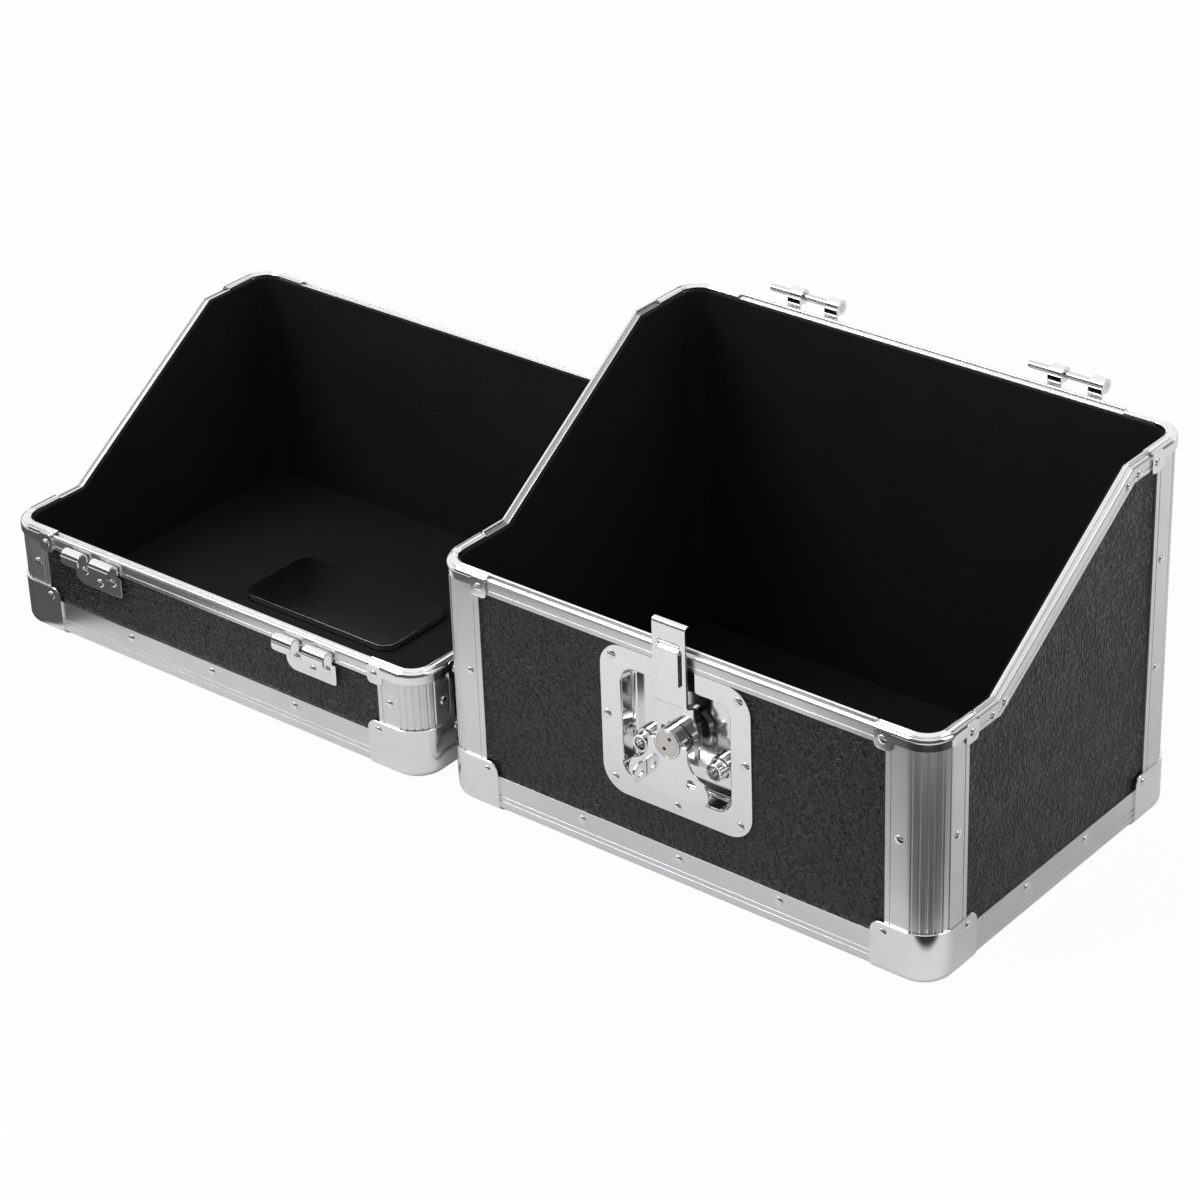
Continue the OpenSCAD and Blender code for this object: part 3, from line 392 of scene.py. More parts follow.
def roundRect(halfWide, halfHigh, radius, steps=10):
    corners = [(1, 1, 0), (-1, 1, 90), (-1, -1, 180), (1, -1, 270)]
    return [point for sx, sy, turn in corners
            for point in arc((sx * (halfWide - radius), sy * (halfHigh - radius)), radius,
                             turn, turn + 90, steps)]


# Sheet metal plate with rounded edges, drawn in mm in x and y and as thick as asked along z
def plate(name, loops, thick, edge, toWorld):
    curve = bpy.data.curves.new(name, "CURVE")
    curve.dimensions = "2D"
    curve.fill_mode = "BOTH"
    curve.extrude = (thick / 2 - edge) * mm
    curve.bevel_depth = edge * mm
    curve.bevel_resolution = 2
    curve.offset = -edge * mm
    for loop in loops:
        spline = curve.splines.new("POLY")
        spline.points.add(len(loop) - 1)
        for point, (x, y) in zip(spline.points, loop):
            point.co = (x * mm, y * mm, 0, 1)
        spline.use_cyclic_u = True
    mesh = settle(newObject("holder", curve), name)
    mesh.transform(toWorld)
    return mesh


def standing(x, y, z):  # plate axes to the front: its x runs right, its y up and its z outward
    return Matrix.Translation(Vector((x, y, z)) * mm) @ Matrix.Rotation(radians(90), 4, "X")


def cut(mesh, cutter, name):
    holder = newObject("holder", mesh)
    knife = newObject("knife", cutter)
    boolean = holder.modifiers.new("cut", "BOOLEAN")
    boolean.object = knife
    boolean.solver = "EXACT"
    result = settle(holder, name)
    bpy.data.objects.remove(knife)
    return result


# Domed rivet heads, set by Geometry Nodes on the places of the CAD heads
rivet = {"rings": 12, "steps": 28, "rim": 0.04, "tilt": 2.5, "seed": 7}


def latheMesh(name, profile, steps, cap=True):  # profile is (radius, height) from the axis outward
    work = bmesh.new()
    rings = []
    for radius, height in profile:
        if radius < 1e-7:
            rings.append([work.verts.new((0, 0, height))])
        else:
            rings.append([work.verts.new((radius * cos(2 * pi * i / steps), radius * sin(2 * pi * i / steps),
                                          height)) for i in range(steps)])
    for inner, outer in zip(rings, rings[1:]):
        for i in range(steps):
            j = (i + 1) % steps
            quad = [ring[k % len(ring)] for ring, k in ((inner, i), (outer, i), (outer, j), (inner, j))]
            corners = [v for k, v in enumerate(quad) if v not in quad[:k]]
            if len(corners) > 2:
                work.faces.new(corners)
    if cap and len(rings[-1]) > 1:
        work.faces.new(list(reversed(rings[-1])))
    bmesh.ops.recalc_face_normals(work, faces=work.faces)
    mesh = bpy.data.meshes.new(name)
    work.to_mesh(mesh)
    work.free()
    for face in mesh.polygons:
        face.use_smooth = True
    return mesh


def islandsOf(name):  # the vertex places of each separate solid in a CAD node
    work = bmesh.new()
    work.from_mesh(nodes[name].data)
    bmesh.ops.remove_doubles(work, verts=work.verts, dist=cadWeld)
    seen, islands = set(), []
    for start in work.verts:
        if start in seen:
            continue
        seen.add(start)
        queue, members = [start], []
        while queue:
            vert = queue.pop()
            members.append(vert.co.copy())
            for edge in vert.link_edges:
                other = edge.other_vert(vert)
                if other not in seen:
                    seen.add(other)
                    queue.append(other)
        islands.append(members)
    work.free()
    return islands


def headPlace(points):  # (middle of the seat, outward direction) of a domed head
    low = Vector([min(p[i] for p in points) for i in range(3)])
    high = Vector([max(p[i] for p in points) for i in range(3)])
    spread = high - low
    axis = min(range(3), key=lambda i: spread[i])
    middle = (low + high) / 2
    near = sum(hypot(*[p[i] - middle[i] for i in range(3) if i != axis]) for p in points
               if p[axis] > middle[axis])
    far = sum(hypot(*[p[i] - middle[i] for i in range(3) if i != axis]) for p in points
              if p[axis] < middle[axis])
    outward = Vector((0, 0, 0))
    outward[axis] = 1 if near < far else -1
    seat = middle.copy()
    seat[axis] = low[axis] if outward[axis] > 0 else high[axis]
    return seat, outward


def buildPlacing():  # copies of one object on points, turned as each point says and tilted at random
    tree, net, given, out = newGroup(
        "placedCopies",
        [("Geometry", "NodeSocketGeometry", None), ("Copy", "NodeSocketObject", None),
         ("Tilt", "NodeSocketFloat", 0.0), ("Seed", "NodeSocketInt", 1),
         ("Material", "NodeSocketMaterial", None)],
        [("Geometry", "NodeSocketGeometry")], "GeometryNodeTree")
    turn = net.add("GeometryNodeInputNamedAttribute", {"Name": "turn"}, data_type="FLOAT_VECTOR")
    facing = net.add("FunctionNodeEulerToRotation", {0: turn.outputs[0]})
    lean = net.add("FunctionNodeRandomValue",
                   {"Min": (-1, -1, -3), "Max": (1, 1, 3), "Seed": given.outputs["Seed"]},
                   data_type="FLOAT_VECTOR")
    small = net.add("ShaderNodeVectorMath", {0: lean.outputs[0], 3: given.outputs["Tilt"]}, operation="SCALE")
    turned = net.add("FunctionNodeRotateRotation", {"Rotation": facing.outputs[0],
                                                    "Rotate By": small.outputs[0]}, rotation_space="LOCAL")
    copy = net.add("GeometryNodeObjectInfo", {"Object": given.outputs["Copy"]})
    copies = net.add("GeometryNodeInstanceOnPoints",
                     {"Points": given.outputs["Geometry"], "Instance": copy.outputs["Geometry"],
                      "Rotation": turned.outputs[0]})
    real = net.add("GeometryNodeRealizeInstances", {"Geometry": copies.outputs[0]})
    finished = net.add("GeometryNodeSetMaterial", {"Geometry": real.outputs[0],
                                                   "Material": given.outputs["Material"]})
    net.link(finished.outputs[0], out.inputs["Geometry"])
    return tree


placing = buildPlacing()


def placed(name, copyMesh, places, turns, material, tilt=0.0, seed=1):
    base = bpy.data.meshes.new(name + "Points")
    base.from_pydata([tuple(p) for p in places], [], [])
    turn = base.attributes.new("turn", "FLOAT_VECTOR", "POINT")
    turn.data.foreach_set("vector", [angle for t in turns for angle in t])
    copy = newObject("copy", copyMesh)
    holder = newObject("holder", base)
    modifier = holder.modifiers.new("placing", "NODES")
    modifier.node_group = placing
    sockets = {item.name: item.identifier for item in placing.interface.items_tree if item.in_out == "INPUT"}
    for label, value in (("Copy", copy), ("Tilt", tilt), ("Seed", seed), ("Material", material)):
        modifier[sockets[label]] = value
    mesh = settle(holder, name)
    bpy.data.objects.remove(copy)
    return mesh


def makeRivets(node):
    islands = islandsOf(node)
    seats = [headPlace(points) for points in islands]
    spread = [max(p[i] for p in islands[0]) - min(p[i] for p in islands[0]) for i in range(3)]
    height, radius = min(spread), max(spread) / 2
    profile = [(radius * sin(t), height * (rivet["rim"] + (1 - rivet["rim"]) * cos(t)))
               for t in [0.5 * pi * k / rivet["rings"] for k in range(rivet["rings"] + 1)]]
    profile.append((radius, 0.0))
    mesh = placed(node + "Mesh", latheMesh("rivetHead", profile, rivet["steps"]), [seat for seat, _ in seats],
                  [outward.to_track_quat("Z", "Y").to_euler() for _, outward in seats],
                  finishes["rivet_steel"], radians(rivet["tilt"]), rivet["seed"])
    newPiece(node + "_heads", [mesh], [node])


for name in ("tub_rivets", "lid_rivets"):
    makeRivets(name)
print("scene: rivets set")

corner = {"face": 1.2, "round": 20.0, "arcSteps": 30}
setBack = 0.03  # mm that a sheet's face stays inside the face of its solid


def corners(side):  # places of the four upright corners of the tub or the lid
    low, high = [Vector(c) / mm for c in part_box(side + "_ball_corners")]
    face = corner["face"]
    x0, y0, x1, y1 = low.x + face, low.y + face, high.x - face, high.y - face
    return [(x0, y0), (x1, y0), (x1, y1), (x0, y1)]


def roundCorner(reach, armStops):  # stations (left to the arm's end, place, inward) along arm, round and arm
    r = corner["round"]
    stations = [(reach - x, (x, 0), (0, 1)) for x in armStops]
    for k in range(corner["arcSteps"] + 1):
        turn = radians(270 - 90 * k / corner["arcSteps"])
        stations.append((reach - r, (r + r * cos(turn), r + r * sin(turn)), (-cos(turn), -sin(turn))))
    return stations + [(reach - x, (0, x), (1, 0)) for x in reversed(armStops)]


def bentRound(name, stations, section):  # a section of (inward, up) points carried along the stations
    rings = [[(at[0] + inward[0] * d, at[1] + inward[1] * d, z) for d, z in section(left)]
             for left, at, inward in stations]
    return loft(name, rings)


def setOnCorners(side, kind, mesh, heights):  # the same fitting on all four upright corners
    places = [Vector((x, y, z)) * mm for (x, y), z in zip(corners(side), heights)]
    node = side + kind
    mesh = placed(node + "Mesh", mesh, places, [(0, 0, radians(90 * k)) for k in range(4)],
                  finishes[slotOf[node]])
    newPiece(node + "_modelled", [mesh], [node])


# Plated caps over the rim's corners: a ridged top, a band and two riveted tabs
rimCap = {"reach": 42.6, "band": 7.5, "wall": 6.5, "sheet": 1.2, "bend": 3.7, "inner": 2.5, "ridge": 0.7,
          "ridges": (5.0, 1.5), "halfRidge": 0.95, "tab": (13.0, 14.0, 3.5), "flange": 11.0,
          "armStop": 24.0, "end": 0.5, "endDrop": 0.15, "tabEdge": 0.3}


def rimCapSection():
    t, inner = rimCap["sheet"], rimCap["inner"]
    points = [(rimCap["wall"], 0.0), (rimCap["wall"], t - 0.25), (rimCap["wall"] - 0.25, t)]
    for middle in rimCap["ridges"]:
        floor = t if middle > inner else t - 0.12
        for k in range(9):
            across = rimCap["halfRidge"] * (1 - k / 4)
            rise = (rimCap["ridge"] + t - floor) * 0.5 * (1 + cos(pi * across / rimCap["halfRidge"]))
            points.append((middle + across, floor + rise))
    points += arc((inner, -inner), rimCap["bend"], 122, 180, 8)
    points += [(-t, -rimCap["band"] + 0.3), (-t + 0.3, -rimCap["band"]), (0.0, -rimCap["band"])]
    return points + arc((inner, -inner), inner, 180, 90, 4)


def makeRimCaps(side, fronts, backs):
    reach, section = rimCap["reach"], rimCapSection()
    lowered = [(d, z - rimCap["endDrop"]) if z > 1 else (d, z) for d, z in section]
    ridge = bentRound("capRidge", roundCorner(reach, [reach, reach - rimCap["end"], rimCap["armStop"]]),
                      lambda left: section if left > rimCap["end"] / 2 else lowered)
    wide, high, r = rimCap["tab"]
    tab = [(x + reach - wide / 2, y - high / 2) for x, y in roundRect(wide / 2, high / 2, r)]
    sheet = rimCap["sheet"] - setBack
    front = plate("capTab", [tab], sheet, rimCap["tabEdge"], standing(0, -sheet / 2, 0))
    other = front.copy()
    other.transform(Matrix(((0, 1, 0, 0), (1, 0, 0, 0), (0, 0, 1, 0), (0, 0, 0, 1))))
    other.flip_normals()
    cap = joined("rimCap", [ridge, front, other])
    tops = [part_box(name)[0][2] / mm + rimCap["flange"] for name in (fronts, fronts, backs, backs)]
    setOnCorners(side, "_rim_caps", cap, tops)


# Drawn steel ball corners, their lower edge rolled and the ends of their side tabs rounded
ball = {"reach": 44.6, "height": 36.7, "sheet": 1.2, "edge": 7.0, "inner": 5.0, "tab": 7.0, "under": 20.0,
        "top": 0.35, "stops": (0.0, 0.15, 0.6, 1.2, 2.0, 3.0, 4.2, 5.5, 7.0), "armStop": 28.0}


def ballSection(left):
    t, top = ball["sheet"], ball["height"]
    if left < ball["tab"]:
        top += -ball["tab"] + (ball["tab"] ** 2 - (ball["tab"] - left) ** 2) ** 0.5
    outer = [(ball["under"], 0.0)] + arc((ball["edge"] - t, ball["edge"]), ball["edge"], 270, 180, 14)
    inner = arc((ball["inner"], ball["inner"] + t), ball["inner"], 180, 270, 5) + [(ball["under"], t)]
    return outer + [(-t, top - ball["top"]), (-t + ball["top"], top), (0.0, top)] + inner


def makeBallCorners(side):
    stops = [ball["reach"] - s for s in ball["stops"]] + [ball["armStop"]]
    shape = joined("ballCorner", [bentRound("ballCorner", roundCorner(ball["reach"], stops), ballSection)])
    setOnCorners(side, "_ball_corners", shape, [0, 0, 0, 0])


for side, fronts, backs in (("tub", "tub_rim_front", "tub_rim_back"), ("lid", "lid_rim_low", "lid_rim_high")):
    makeRimCaps(side, fronts, backs)
    makeBallCorners(side)
print("scene: corner fittings modelled")

# Corner posts: a fluted round between two grooved flanges
post = {"reach": 35.0, "inner": 30.0, "sheet": 1.2, "wall": 6.5, "flutes": 6, "middle": 225, "pitch": 14.0,
        "depth": 0.6, "halfFlute": 2.1, "flat": 0.8, "steps": 180, "groove": (30.5, 31.3), "grooveDepth": 0.4,
        "grooveSlope": 0.15, "base": 27.2, "foot": 18.0, "start": 7.7, "rimRound": 2.5, "flange": 11.0,
        "rimInner": 8.0}


def fluteDip(turn):  # depth of flattened lands and flutes below the round, at an angle in degrees
    land = (turn - post["middle"]) / post["pitch"]
    aside = (land - round(land)) * post["pitch"]
    dip = 0.0
    if abs(land) < (post["flutes"] - 1) / 2:
        dip = post["flat"] * corner["round"] * (1 - cos(radians(post["pitch"] / 2)) / cos(radians(aside)))
    for k in range(post["flutes"]):
        away = abs(turn - post["middle"] - (k - (post["flutes"] - 1) / 2) * post["pitch"])
        if away < post["halfFlute"]:
            dip = post["depth"] * (1 - (away / post["halfFlute"]) ** 2) ** 0.5
    return dip


def upright(name, outline, low, high):  # a plan outline in mm drawn up from low to high
    return loft(name, [[(x, y, z) for x, y in outline] for z in (low, high)])


def makePost(node, place, turn, rim):
    r, wall, sheet = corner["round"], post["wall"], post["sheet"]
    turns = [180 + 90 * k / post["steps"] for k in range(post["steps"] + 1)]
    radii = [r - fluteDip(t) for t in turns]
    outside = [(r + a * cos(radians(t)), r + a * sin(radians(t))) for a, t in zip(radii, turns)]
    inside = arc((r, r), r - wall, 270, 180, 16)
    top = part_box(rim)[0][2] / mm + post["flange"]
    (g0, g1), slope, deep = post["groove"], post["grooveSlope"], post["grooveDepth"]
    flange = [(r, 0.0), (g0 - slope, 0.0), (g0, deep), (g1, deep), (g1 + slope, 0.0),
              (post["reach"] - 0.2, 0.0), (post["reach"], 0.2), (post["reach"], sheet), (r, sheet)]
    within = [(r, wall - sheet), (post["inner"], wall - sheet), (post["inner"], wall), (r, wall)]
    shapes = [upright("postRound", outside + inside, post["start"], top - post["rimRound"])]
    for outline, low, high in ((flange, post["base"], top - post["flange"]),
                               (within, post["foot"], top - post["rimInner"])):
        shapes.append(upright("postFlange", outline, low, high))
        shapes.append(upright("postFlange", [(y, x) for x, y in outline], low, high))
    whole = joined(node + "Mesh", shapes)
    whole.transform(Matrix.Translation(Vector((place[0], place[1], 0)) * mm)
                    @ Matrix.Rotation(radians(turn), 4, "Z"))
    newPiece(node + "_modelled", [whole], [node])


for side, names, rims in (
        ("tub", ("front_left", "front_right", "back_right", "back_left"), ("tub_rim_front", "tub_rim_back")),
        ("lid", ("low_left", "low_right", "high_right", "high_left"), ("lid_rim_low", "lid_rim_high"))):
    for k, (name, place) in enumerate(zip(names, corners(side))):
        makePost(side + "_post_" + name, place, 90 * k, rims[k // 2])
print("scene: posts modelled")

# The latch hangs on the dish: x is its middle, face the tub's outer face, top the dish's upper edge
spindleDrop = 51.4
dishLow, dishHigh = [Vector(c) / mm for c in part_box("latch_dish")]
latch = {"x": (dishLow.x + dishHigh.x) / 2, "face": dishLow.y, "top": dishHigh.z,
         "spindle": dishHigh.z - spindleDrop}
dish = {"wide": 115.5, "high": 106.5, "round": 18.0, "sheet": 1.2, "wellWide": 83.0, "wellHigh": 76.0,
        "wellRound": 10.0, "depth": 12.0, "wellTop": 15.0, "lip": 1.5, "draft": 0.5, "fillet": 3.0,
        "notch": 31.5, "notchDepth": 1.12, "mouth": 3.0, "hole": 3.05}


def dishRing(grow, y, outline="well"):
    if outline == "edge":
        shape = roundRect(dish["wide"] / 2 + grow, dish["high"] / 2 + grow, dish["round"] + grow)
        z = latch["top"] - dish["high"] / 2
    else:
        shape = roundRect(dish["wellWide"] / 2 + grow, dish["wellHigh"] / 2 + grow, dish["wellRound"] + grow)
        z = latch["top"] - dish["wellTop"] - dish["wellHigh"] / 2
    if outline == "hole":  # as many points as the well has, evenly round the spindle
        drop = latch["spindle"] - z
        turns = [2 * pi * (i + 0.5) / len(shape) for i in range(len(shape))]
        shape = [(dish["hole"] * cos(t), drop + dish["hole"] * sin(t)) for t in turns]
    return [(latch["x"] + u, latch["face"] + y, z + v) for u, v in shape]


def makeDish():
    sheet, depth, lip, fillet = dish["sheet"], dish["depth"], dish["lip"], dish["fillet"]
    back = depth + sheet
    rings = [dishRing(0, back, "hole")]
    rings += [dishRing(sheet - (fillet + 1) * (1 - u), back - (fillet + 1) * (1 - v))
              for u, v in arc((0, 0), 1, 90, 0, 4)]
    rings += [dishRing(sheet, sheet), dishRing(0, sheet, "edge"), dishRing(0, 0.5, "edge"),
              dishRing(-0.15, 0.15, "edge"), dishRing(-0.5, 0, "edge")]
    rings += [dishRing(lip * (1 - u), lip * (1 - v)) for u, v in arc((0, 0), 1, 90, 0, 6)]
    rings += [dishRing(-dish["draft"] - fillet * (1 - u), depth - fillet * (1 - v))
              for u, v in arc((0, 0), 1, 0, 90, 8)]
    rings.append(dishRing(0, depth, "hole"))
    body = loft("dish", rings, closed=True)
    half, mouth = dish["notch"] / 2, dish["mouth"]
    z0, z1 = latch["top"] - dish["wellTop"], latch["top"] + 2
    outline = arc((half + mouth, z0 + mouth), mouth, 180, 270, 6)
    outline = [(half, z1)] + outline + [(half + mouth, z0 - 1.4)]
    outline += [(-x, z) for x, z in reversed(outline)]
    knife = loft("knife", [[(latch["x"] + x, latch["face"] + y, z) for x, z in outline]
                           for y in (-1.0, dish["notchDepth"])])
    return newPiece("latch_dish_modelled", [softened(cut(body, knife, "dish"), 0.15 * mm)], ["latch_dish"])


# Turned bosses in the dish, as (radius, depth below the face)
boss = {"x": 28.5, "drop": 14.6, "steps": 48,
        "profile": ((0, 8.0), (2.1, 8.0), (2.3, 7.4), (3.2, 7.4), (3.4, 8.0), (3.95, 8.0), (4.0, 7.9),
                    (4.0, 1.3), (4.25, 0.85), (5.2, 0.55), (5.7, 0.65), (6.0, 1.0), (6.0, 6.4), (6.25, 6.9),
                    (7.4, 7.0), (7.85, 7.2), (8.0, 7.6), (8.0, 12.0))}


def turnedMesh(name, profile, steps):  # (radius, depth) profile about the line that runs inward from the face
    mesh = latheMesh(name, [(r * mm, -depth * mm) for r, depth in profile], steps)
    mesh.transform(Matrix.Rotation(radians(90), 4, "X"))
    return mesh


def makeBosses():
    places = [Vector((latch["x"] + e * boss["x"], latch["face"], latch["spindle"] - boss["drop"])) * mm
              for e in (-1, 1)]
    mesh = placed("bossesMesh", turnedMesh("boss", boss["profile"], boss["steps"]), places, [(0, 0, 0)] * 2,
                  finishes["plated_latch"])
    newPiece("latch_bosses_modelled", [mesh], ["latch_bosses"])


# The hook: bent from sheet with a rolled lip, a raised cover with a slot over it, and a plate in the recess
strap = {"half": 12.75, "sheet": 1.8, "out": 4.3, "rise": 31.5, "lip": 0.5, "lipBend": 1.5, "joggle": 27.0,
         "plate": 2.2, "plateHalf": 16.0, "foot": 68.0, "shoulder": 42.9, "slot": (12.5, 9.1, 2.0),
         "coverHalf": 8.75, "cover": (11.0, 14.0), "coverOut": 1.95, "coverRound": 1.6,
         "slotBand": (14.9, 18.4), "bar": 1.05, "barLong": 15.4, "jogBend": 1.4, "jogTurn": 68, "end": 6.0,
         "plateTop": 30.0, "slope": 4, "slotDrop": 55.4}


def strapPath():  # the sheet's middle line as (out from the face, above the dish's edge), lip first
    y, top = -strap["out"] + strap["sheet"] / 2, strap["rise"] - strap["sheet"] / 2
    bend, low, inner = strap["lipBend"], -strap["joggle"], strap["plate"] + strap["sheet"] / 2
    path = [(-strap["lip"], top)] + arc((y + bend, top - bend), bend, 90, 180, 8)
    jog, turn = strap["jogBend"], strap["jogTurn"]
    path += [(y, 20.0), (y, 0.0)] + arc((y + jog, low + 3.2), jog, 180, 180 + turn, 6)
    return path + arc((inner - jog, low - jog), jog, turn, 0, 6) + [(inner, low - strap["end"])]


# A strip of sheet whose middle line is path, as (y, z) in mm; inset narrows it at a place
def sheetAlong(name, path, x0, x1, sheet, inset=lambda y, z: 0.0):
    rings = []
    for k, (y, z) in enumerate(path):
        before, after = path[max(k - 1, 0)], path[min(k + 1, len(path) - 1)]
        along = Vector((after[0] - before[0], after[1] - before[1])).normalized() * sheet / 2
        a, b = x0 + inset(y, z), x1 - inset(y, z)
        rings.append([(a, y + along.y, z - along.x), (b, y + along.y, z - along.x),
                      (b, y - along.y, z + along.x), (a, y - along.y, z + along.x)])
    return loft(name, rings)


def makeHook():
    x, face, top = latch["x"], latch["face"], latch["top"]
    bent = sheetAlong("strap", [(face + y, top + z) for y, z in strapPath()], x - strap["half"],
                      x + strap["half"], strap["sheet"])
    low, high = strap["slotBand"]
    middle = (low + high) / 2
    knife = loft("knife", [[(x + u, face + y, top + middle + v)
                            for u, v in roundRect(strap["coverHalf"] - 0.6, (high - low) / 2, 0.8, 3)]
                           for y in (-9.0, 0.5)])
    bent = softened(cut(bent, knife, "strap"), 0.3 * mm, 3)
    z0, z1 = -strap["cover"][0], strap["cover"][1]
    rings = []
    for shrink, out in [(-0.35, -0.2), (-0.35, 0.1), (0, 0.5), (0, strap["coverOut"] - 0.7),
                        (0.1, strap["coverOut"] - 0.35), (0.35, strap["coverOut"] - 0.1),
                        (0.7, strap["coverOut"])]:
        shape = roundRect(strap["coverHalf"] - shrink, (z1 - z0) / 2 - shrink,
                          strap["coverRound"] - shrink, 6)
        rings.append([(x + u, face - strap["out"] - out, top + (z0 + z1) / 2 + v) for u, v in shape])
    cover = loft("cover", rings)
    r, long = strap["bar"] * mm, strap["barLong"]
    bar = latheMesh("bar", [(0, 0), (r, 0), (r, long * mm)], 24)
    place = Vector((x - long / 2, face - strap["out"] + 0.6, top + middle - 0.2)) * mm
    bar.transform(Matrix.Translation(place) @ Matrix.Rotation(radians(90), 4, "Y"))
    wide, half, plateTop = strap["plateHalf"], strap["half"], -strap["plateTop"]
    outline = [(-wide, -strap["foot"]), (wide, -strap["foot"]), (wide, -strap["shoulder"]),
               (half, -strap["shoulder"] + strap["slope"]), (half, plateTop), (-wide, plateTop)]
    hole = [(u, v - strap["slotDrop"]) for u, v in roundRect(*strap["slot"], 4)]
    low = plate("strapPlate", [outline, hole], strap["sheet"] - 2 * setBack, 0.2,
                standing(x, face + strap["plate"] + strap["sheet"] / 2, top))
    return newPiece("hook_strap_modelled", [bent, cover, bar, low], ["hook_strap"])


# The lock's barrel, as (radius, depth below the barrel's front)
barrel = {"out": 8.4, "steps": 72,
          "profile": ((0, 7.0), (8.25, 7.0), (8.25, 0.25), (8.4, 0.05), (9.1, 0.0), (9.35, 0.15), (9.4, 0.5),
                      (9.4, 1.3), (9.55, 1.45), (9.9, 1.5), (10.0, 1.7), (10.0, 10.2), (0, 10.2))}


def makeBarrel():
    mesh = turnedMesh("barrel", barrel["profile"], barrel["steps"])
    place = Vector((latch["x"], latch["face"] - barrel["out"], latch["spindle"])) * mm
    mesh.transform(Matrix.Translation(place))
    newPiece("latch_barrel_modelled", [mesh], ["latch_barrel"])


def outlineOf(name, smooth):  # loops of the front face of a CAD node, in mm in the xz plane
    work = bmesh.new()
    work.from_mesh(nodes[name].data)
    bmesh.ops.remove_doubles(work, verts=work.verts, dist=cadWeld)
    front = min(v.co.y for v in work.verts)
    faces = {f for f in work.faces if all(abs(v.co.y - front) < 0.01 * mm for v in f.verts)}
    rim = [e for e in work.edges if sum(f in faces for f in e.link_faces) == 1]  # a list keeps its order
    loops = []
    while rim:
        edge = rim.pop()
        loop = [edge.verts[0], edge.verts[1]]
        while loop[-1] != loop[0]:
            edge = next(e for e in loop[-1].link_edges if e in rim)
            rim.remove(edge)
            loop.append(edge.other_vert(loop[-1]))
        loops.append([(v.co.x / mm, v.co.z / mm) for v in loop[:-1]])
    work.free()
    for _ in range(smooth):
        loops = [[point for a, b in zip(loop, loop[1:] + loop[:1])
                  for point in ((0.75 * a[0] + 0.25 * b[0], 0.75 * a[1] + 0.25 * b[1]),
                                (0.25 * a[0] + 0.75 * b[0], 0.25 * a[1] + 0.75 * b[1]))] for loop in loops]
    return loops


# The wing is stamped from sheet, and the padlock eye is a plate ring through the slot in its left lobe
wing = {"sheet": 1.5, "out": 8.0, "edge": 0.3, "eyeX": 17.4, "eyeDrop": 23.1, "ring": 6.3, "hole": 3.2,
        "eyeSheet": 1.8, "eyeEdge": 0.35, "foot": (5.0, 1.2, 6.05)}


def makeWing():
    mesh = plate("wing", outlineOf("latch_wing", 1), wing["sheet"], wing["edge"],
                 standing(0, latch["face"] - wing["out"] + wing["sheet"] / 2, 0))
    newPiece("latch_wing_modelled", [mesh], ["latch_wing"])


def makePadlockEye():
    r, (footWide, footThick, half) = wing["ring"], wing["foot"]
    behind = wing["sheet"] + footThick
    middle = 0.2 - r
    ring = arc((middle, 0), r, 90, 270, 32)
    outline = [(x, z) for x, z in ring if abs(z) < half or x < middle] + [(behind, -half), (behind, half)]
    hole = arc((middle, 0), wing["hole"], 0, 352, 44)
    toSide = (Matrix.Translation(Vector((latch["x"] - wing["eyeX"], latch["face"] - wing["out"],
                                         latch["spindle"] - wing["eyeDrop"])) * mm)
              @ Matrix(((0, 0, 1, 0), (1, 0, 0, 0), (0, 1, 0, 0), (0, 0, 0, 1))))
    eye = plate("eye", [outline, hole], wing["eyeSheet"], wing["eyeEdge"], toSide)
    x0 = latch["x"] - wing["eyeX"] - wing["eyeSheet"] / 2
    y0 = latch["face"] - wing["out"] + wing["sheet"]
    z = latch["spindle"] - wing["eyeDrop"]
    foot = loft("foot", [[(x0, y, z - half), (x0 + footWide, y, z - half), (x0 + footWide, y, z + half),
                          (x0, y, z + half)] for y in (y0, y0 + footThick)])
    newPiece("padlock_eye_modelled", [eye, foot], ["padlock_eye"])


makeDish()
makeBosses()
makeHook()
makeBarrel()
makeWing()
makePadlockEye()
print("scene: latch modelled")

# The lid's hinge halves: a riveted leaf whose two fingers curl outward into open hooks
hinge = {"leaf": (3.6, 48.1, -28.0), "left": 8.0, "right": 2.5, "sheet": 1.5,
         "hooks": ((0.0, 16.6), (27.0, 46.1)), "hookFoot": -12.0, "necks": (13.5, 27.0, 43.2),
         "neckFoot": -12.5, "neckTop": -6.5, "axis": 6.0, "radius": 5.0, "flap": -11.0, "flapRound": 2.2}


def flapInset(y, z):  # the flap's lower corners are rounded
    down = (hinge["flap"] + hinge["flapRound"] - z) / hinge["flapRound"]
    if y >= -hinge["axis"] or down <= 0:
        return 0.0
    return hinge["flapRound"] * (1 - (1 - down * down) ** 0.5)


def hookSheet(x0, x1):  # an inverted U of sheet, open towards the floor
    r, axis, foot = hinge["radius"] - hinge["sheet"] / 2, -hinge["axis"], hinge["hookFoot"]
    path = [(axis + r, foot), (axis + r, foot + 3.0)] + arc((axis, axis), r, 0, 180, 20)
    steps = [0.0, 0.1, 0.25, 0.45, 0.7, 1.0]
    path += [(axis - r, hinge["flap"] + hinge["flapRound"] * (1 - t)) for t in steps]
    return softened(sheetAlong("hook", path, x0, x1, hinge["sheet"], flapInset), 0.25 * mm, 2)


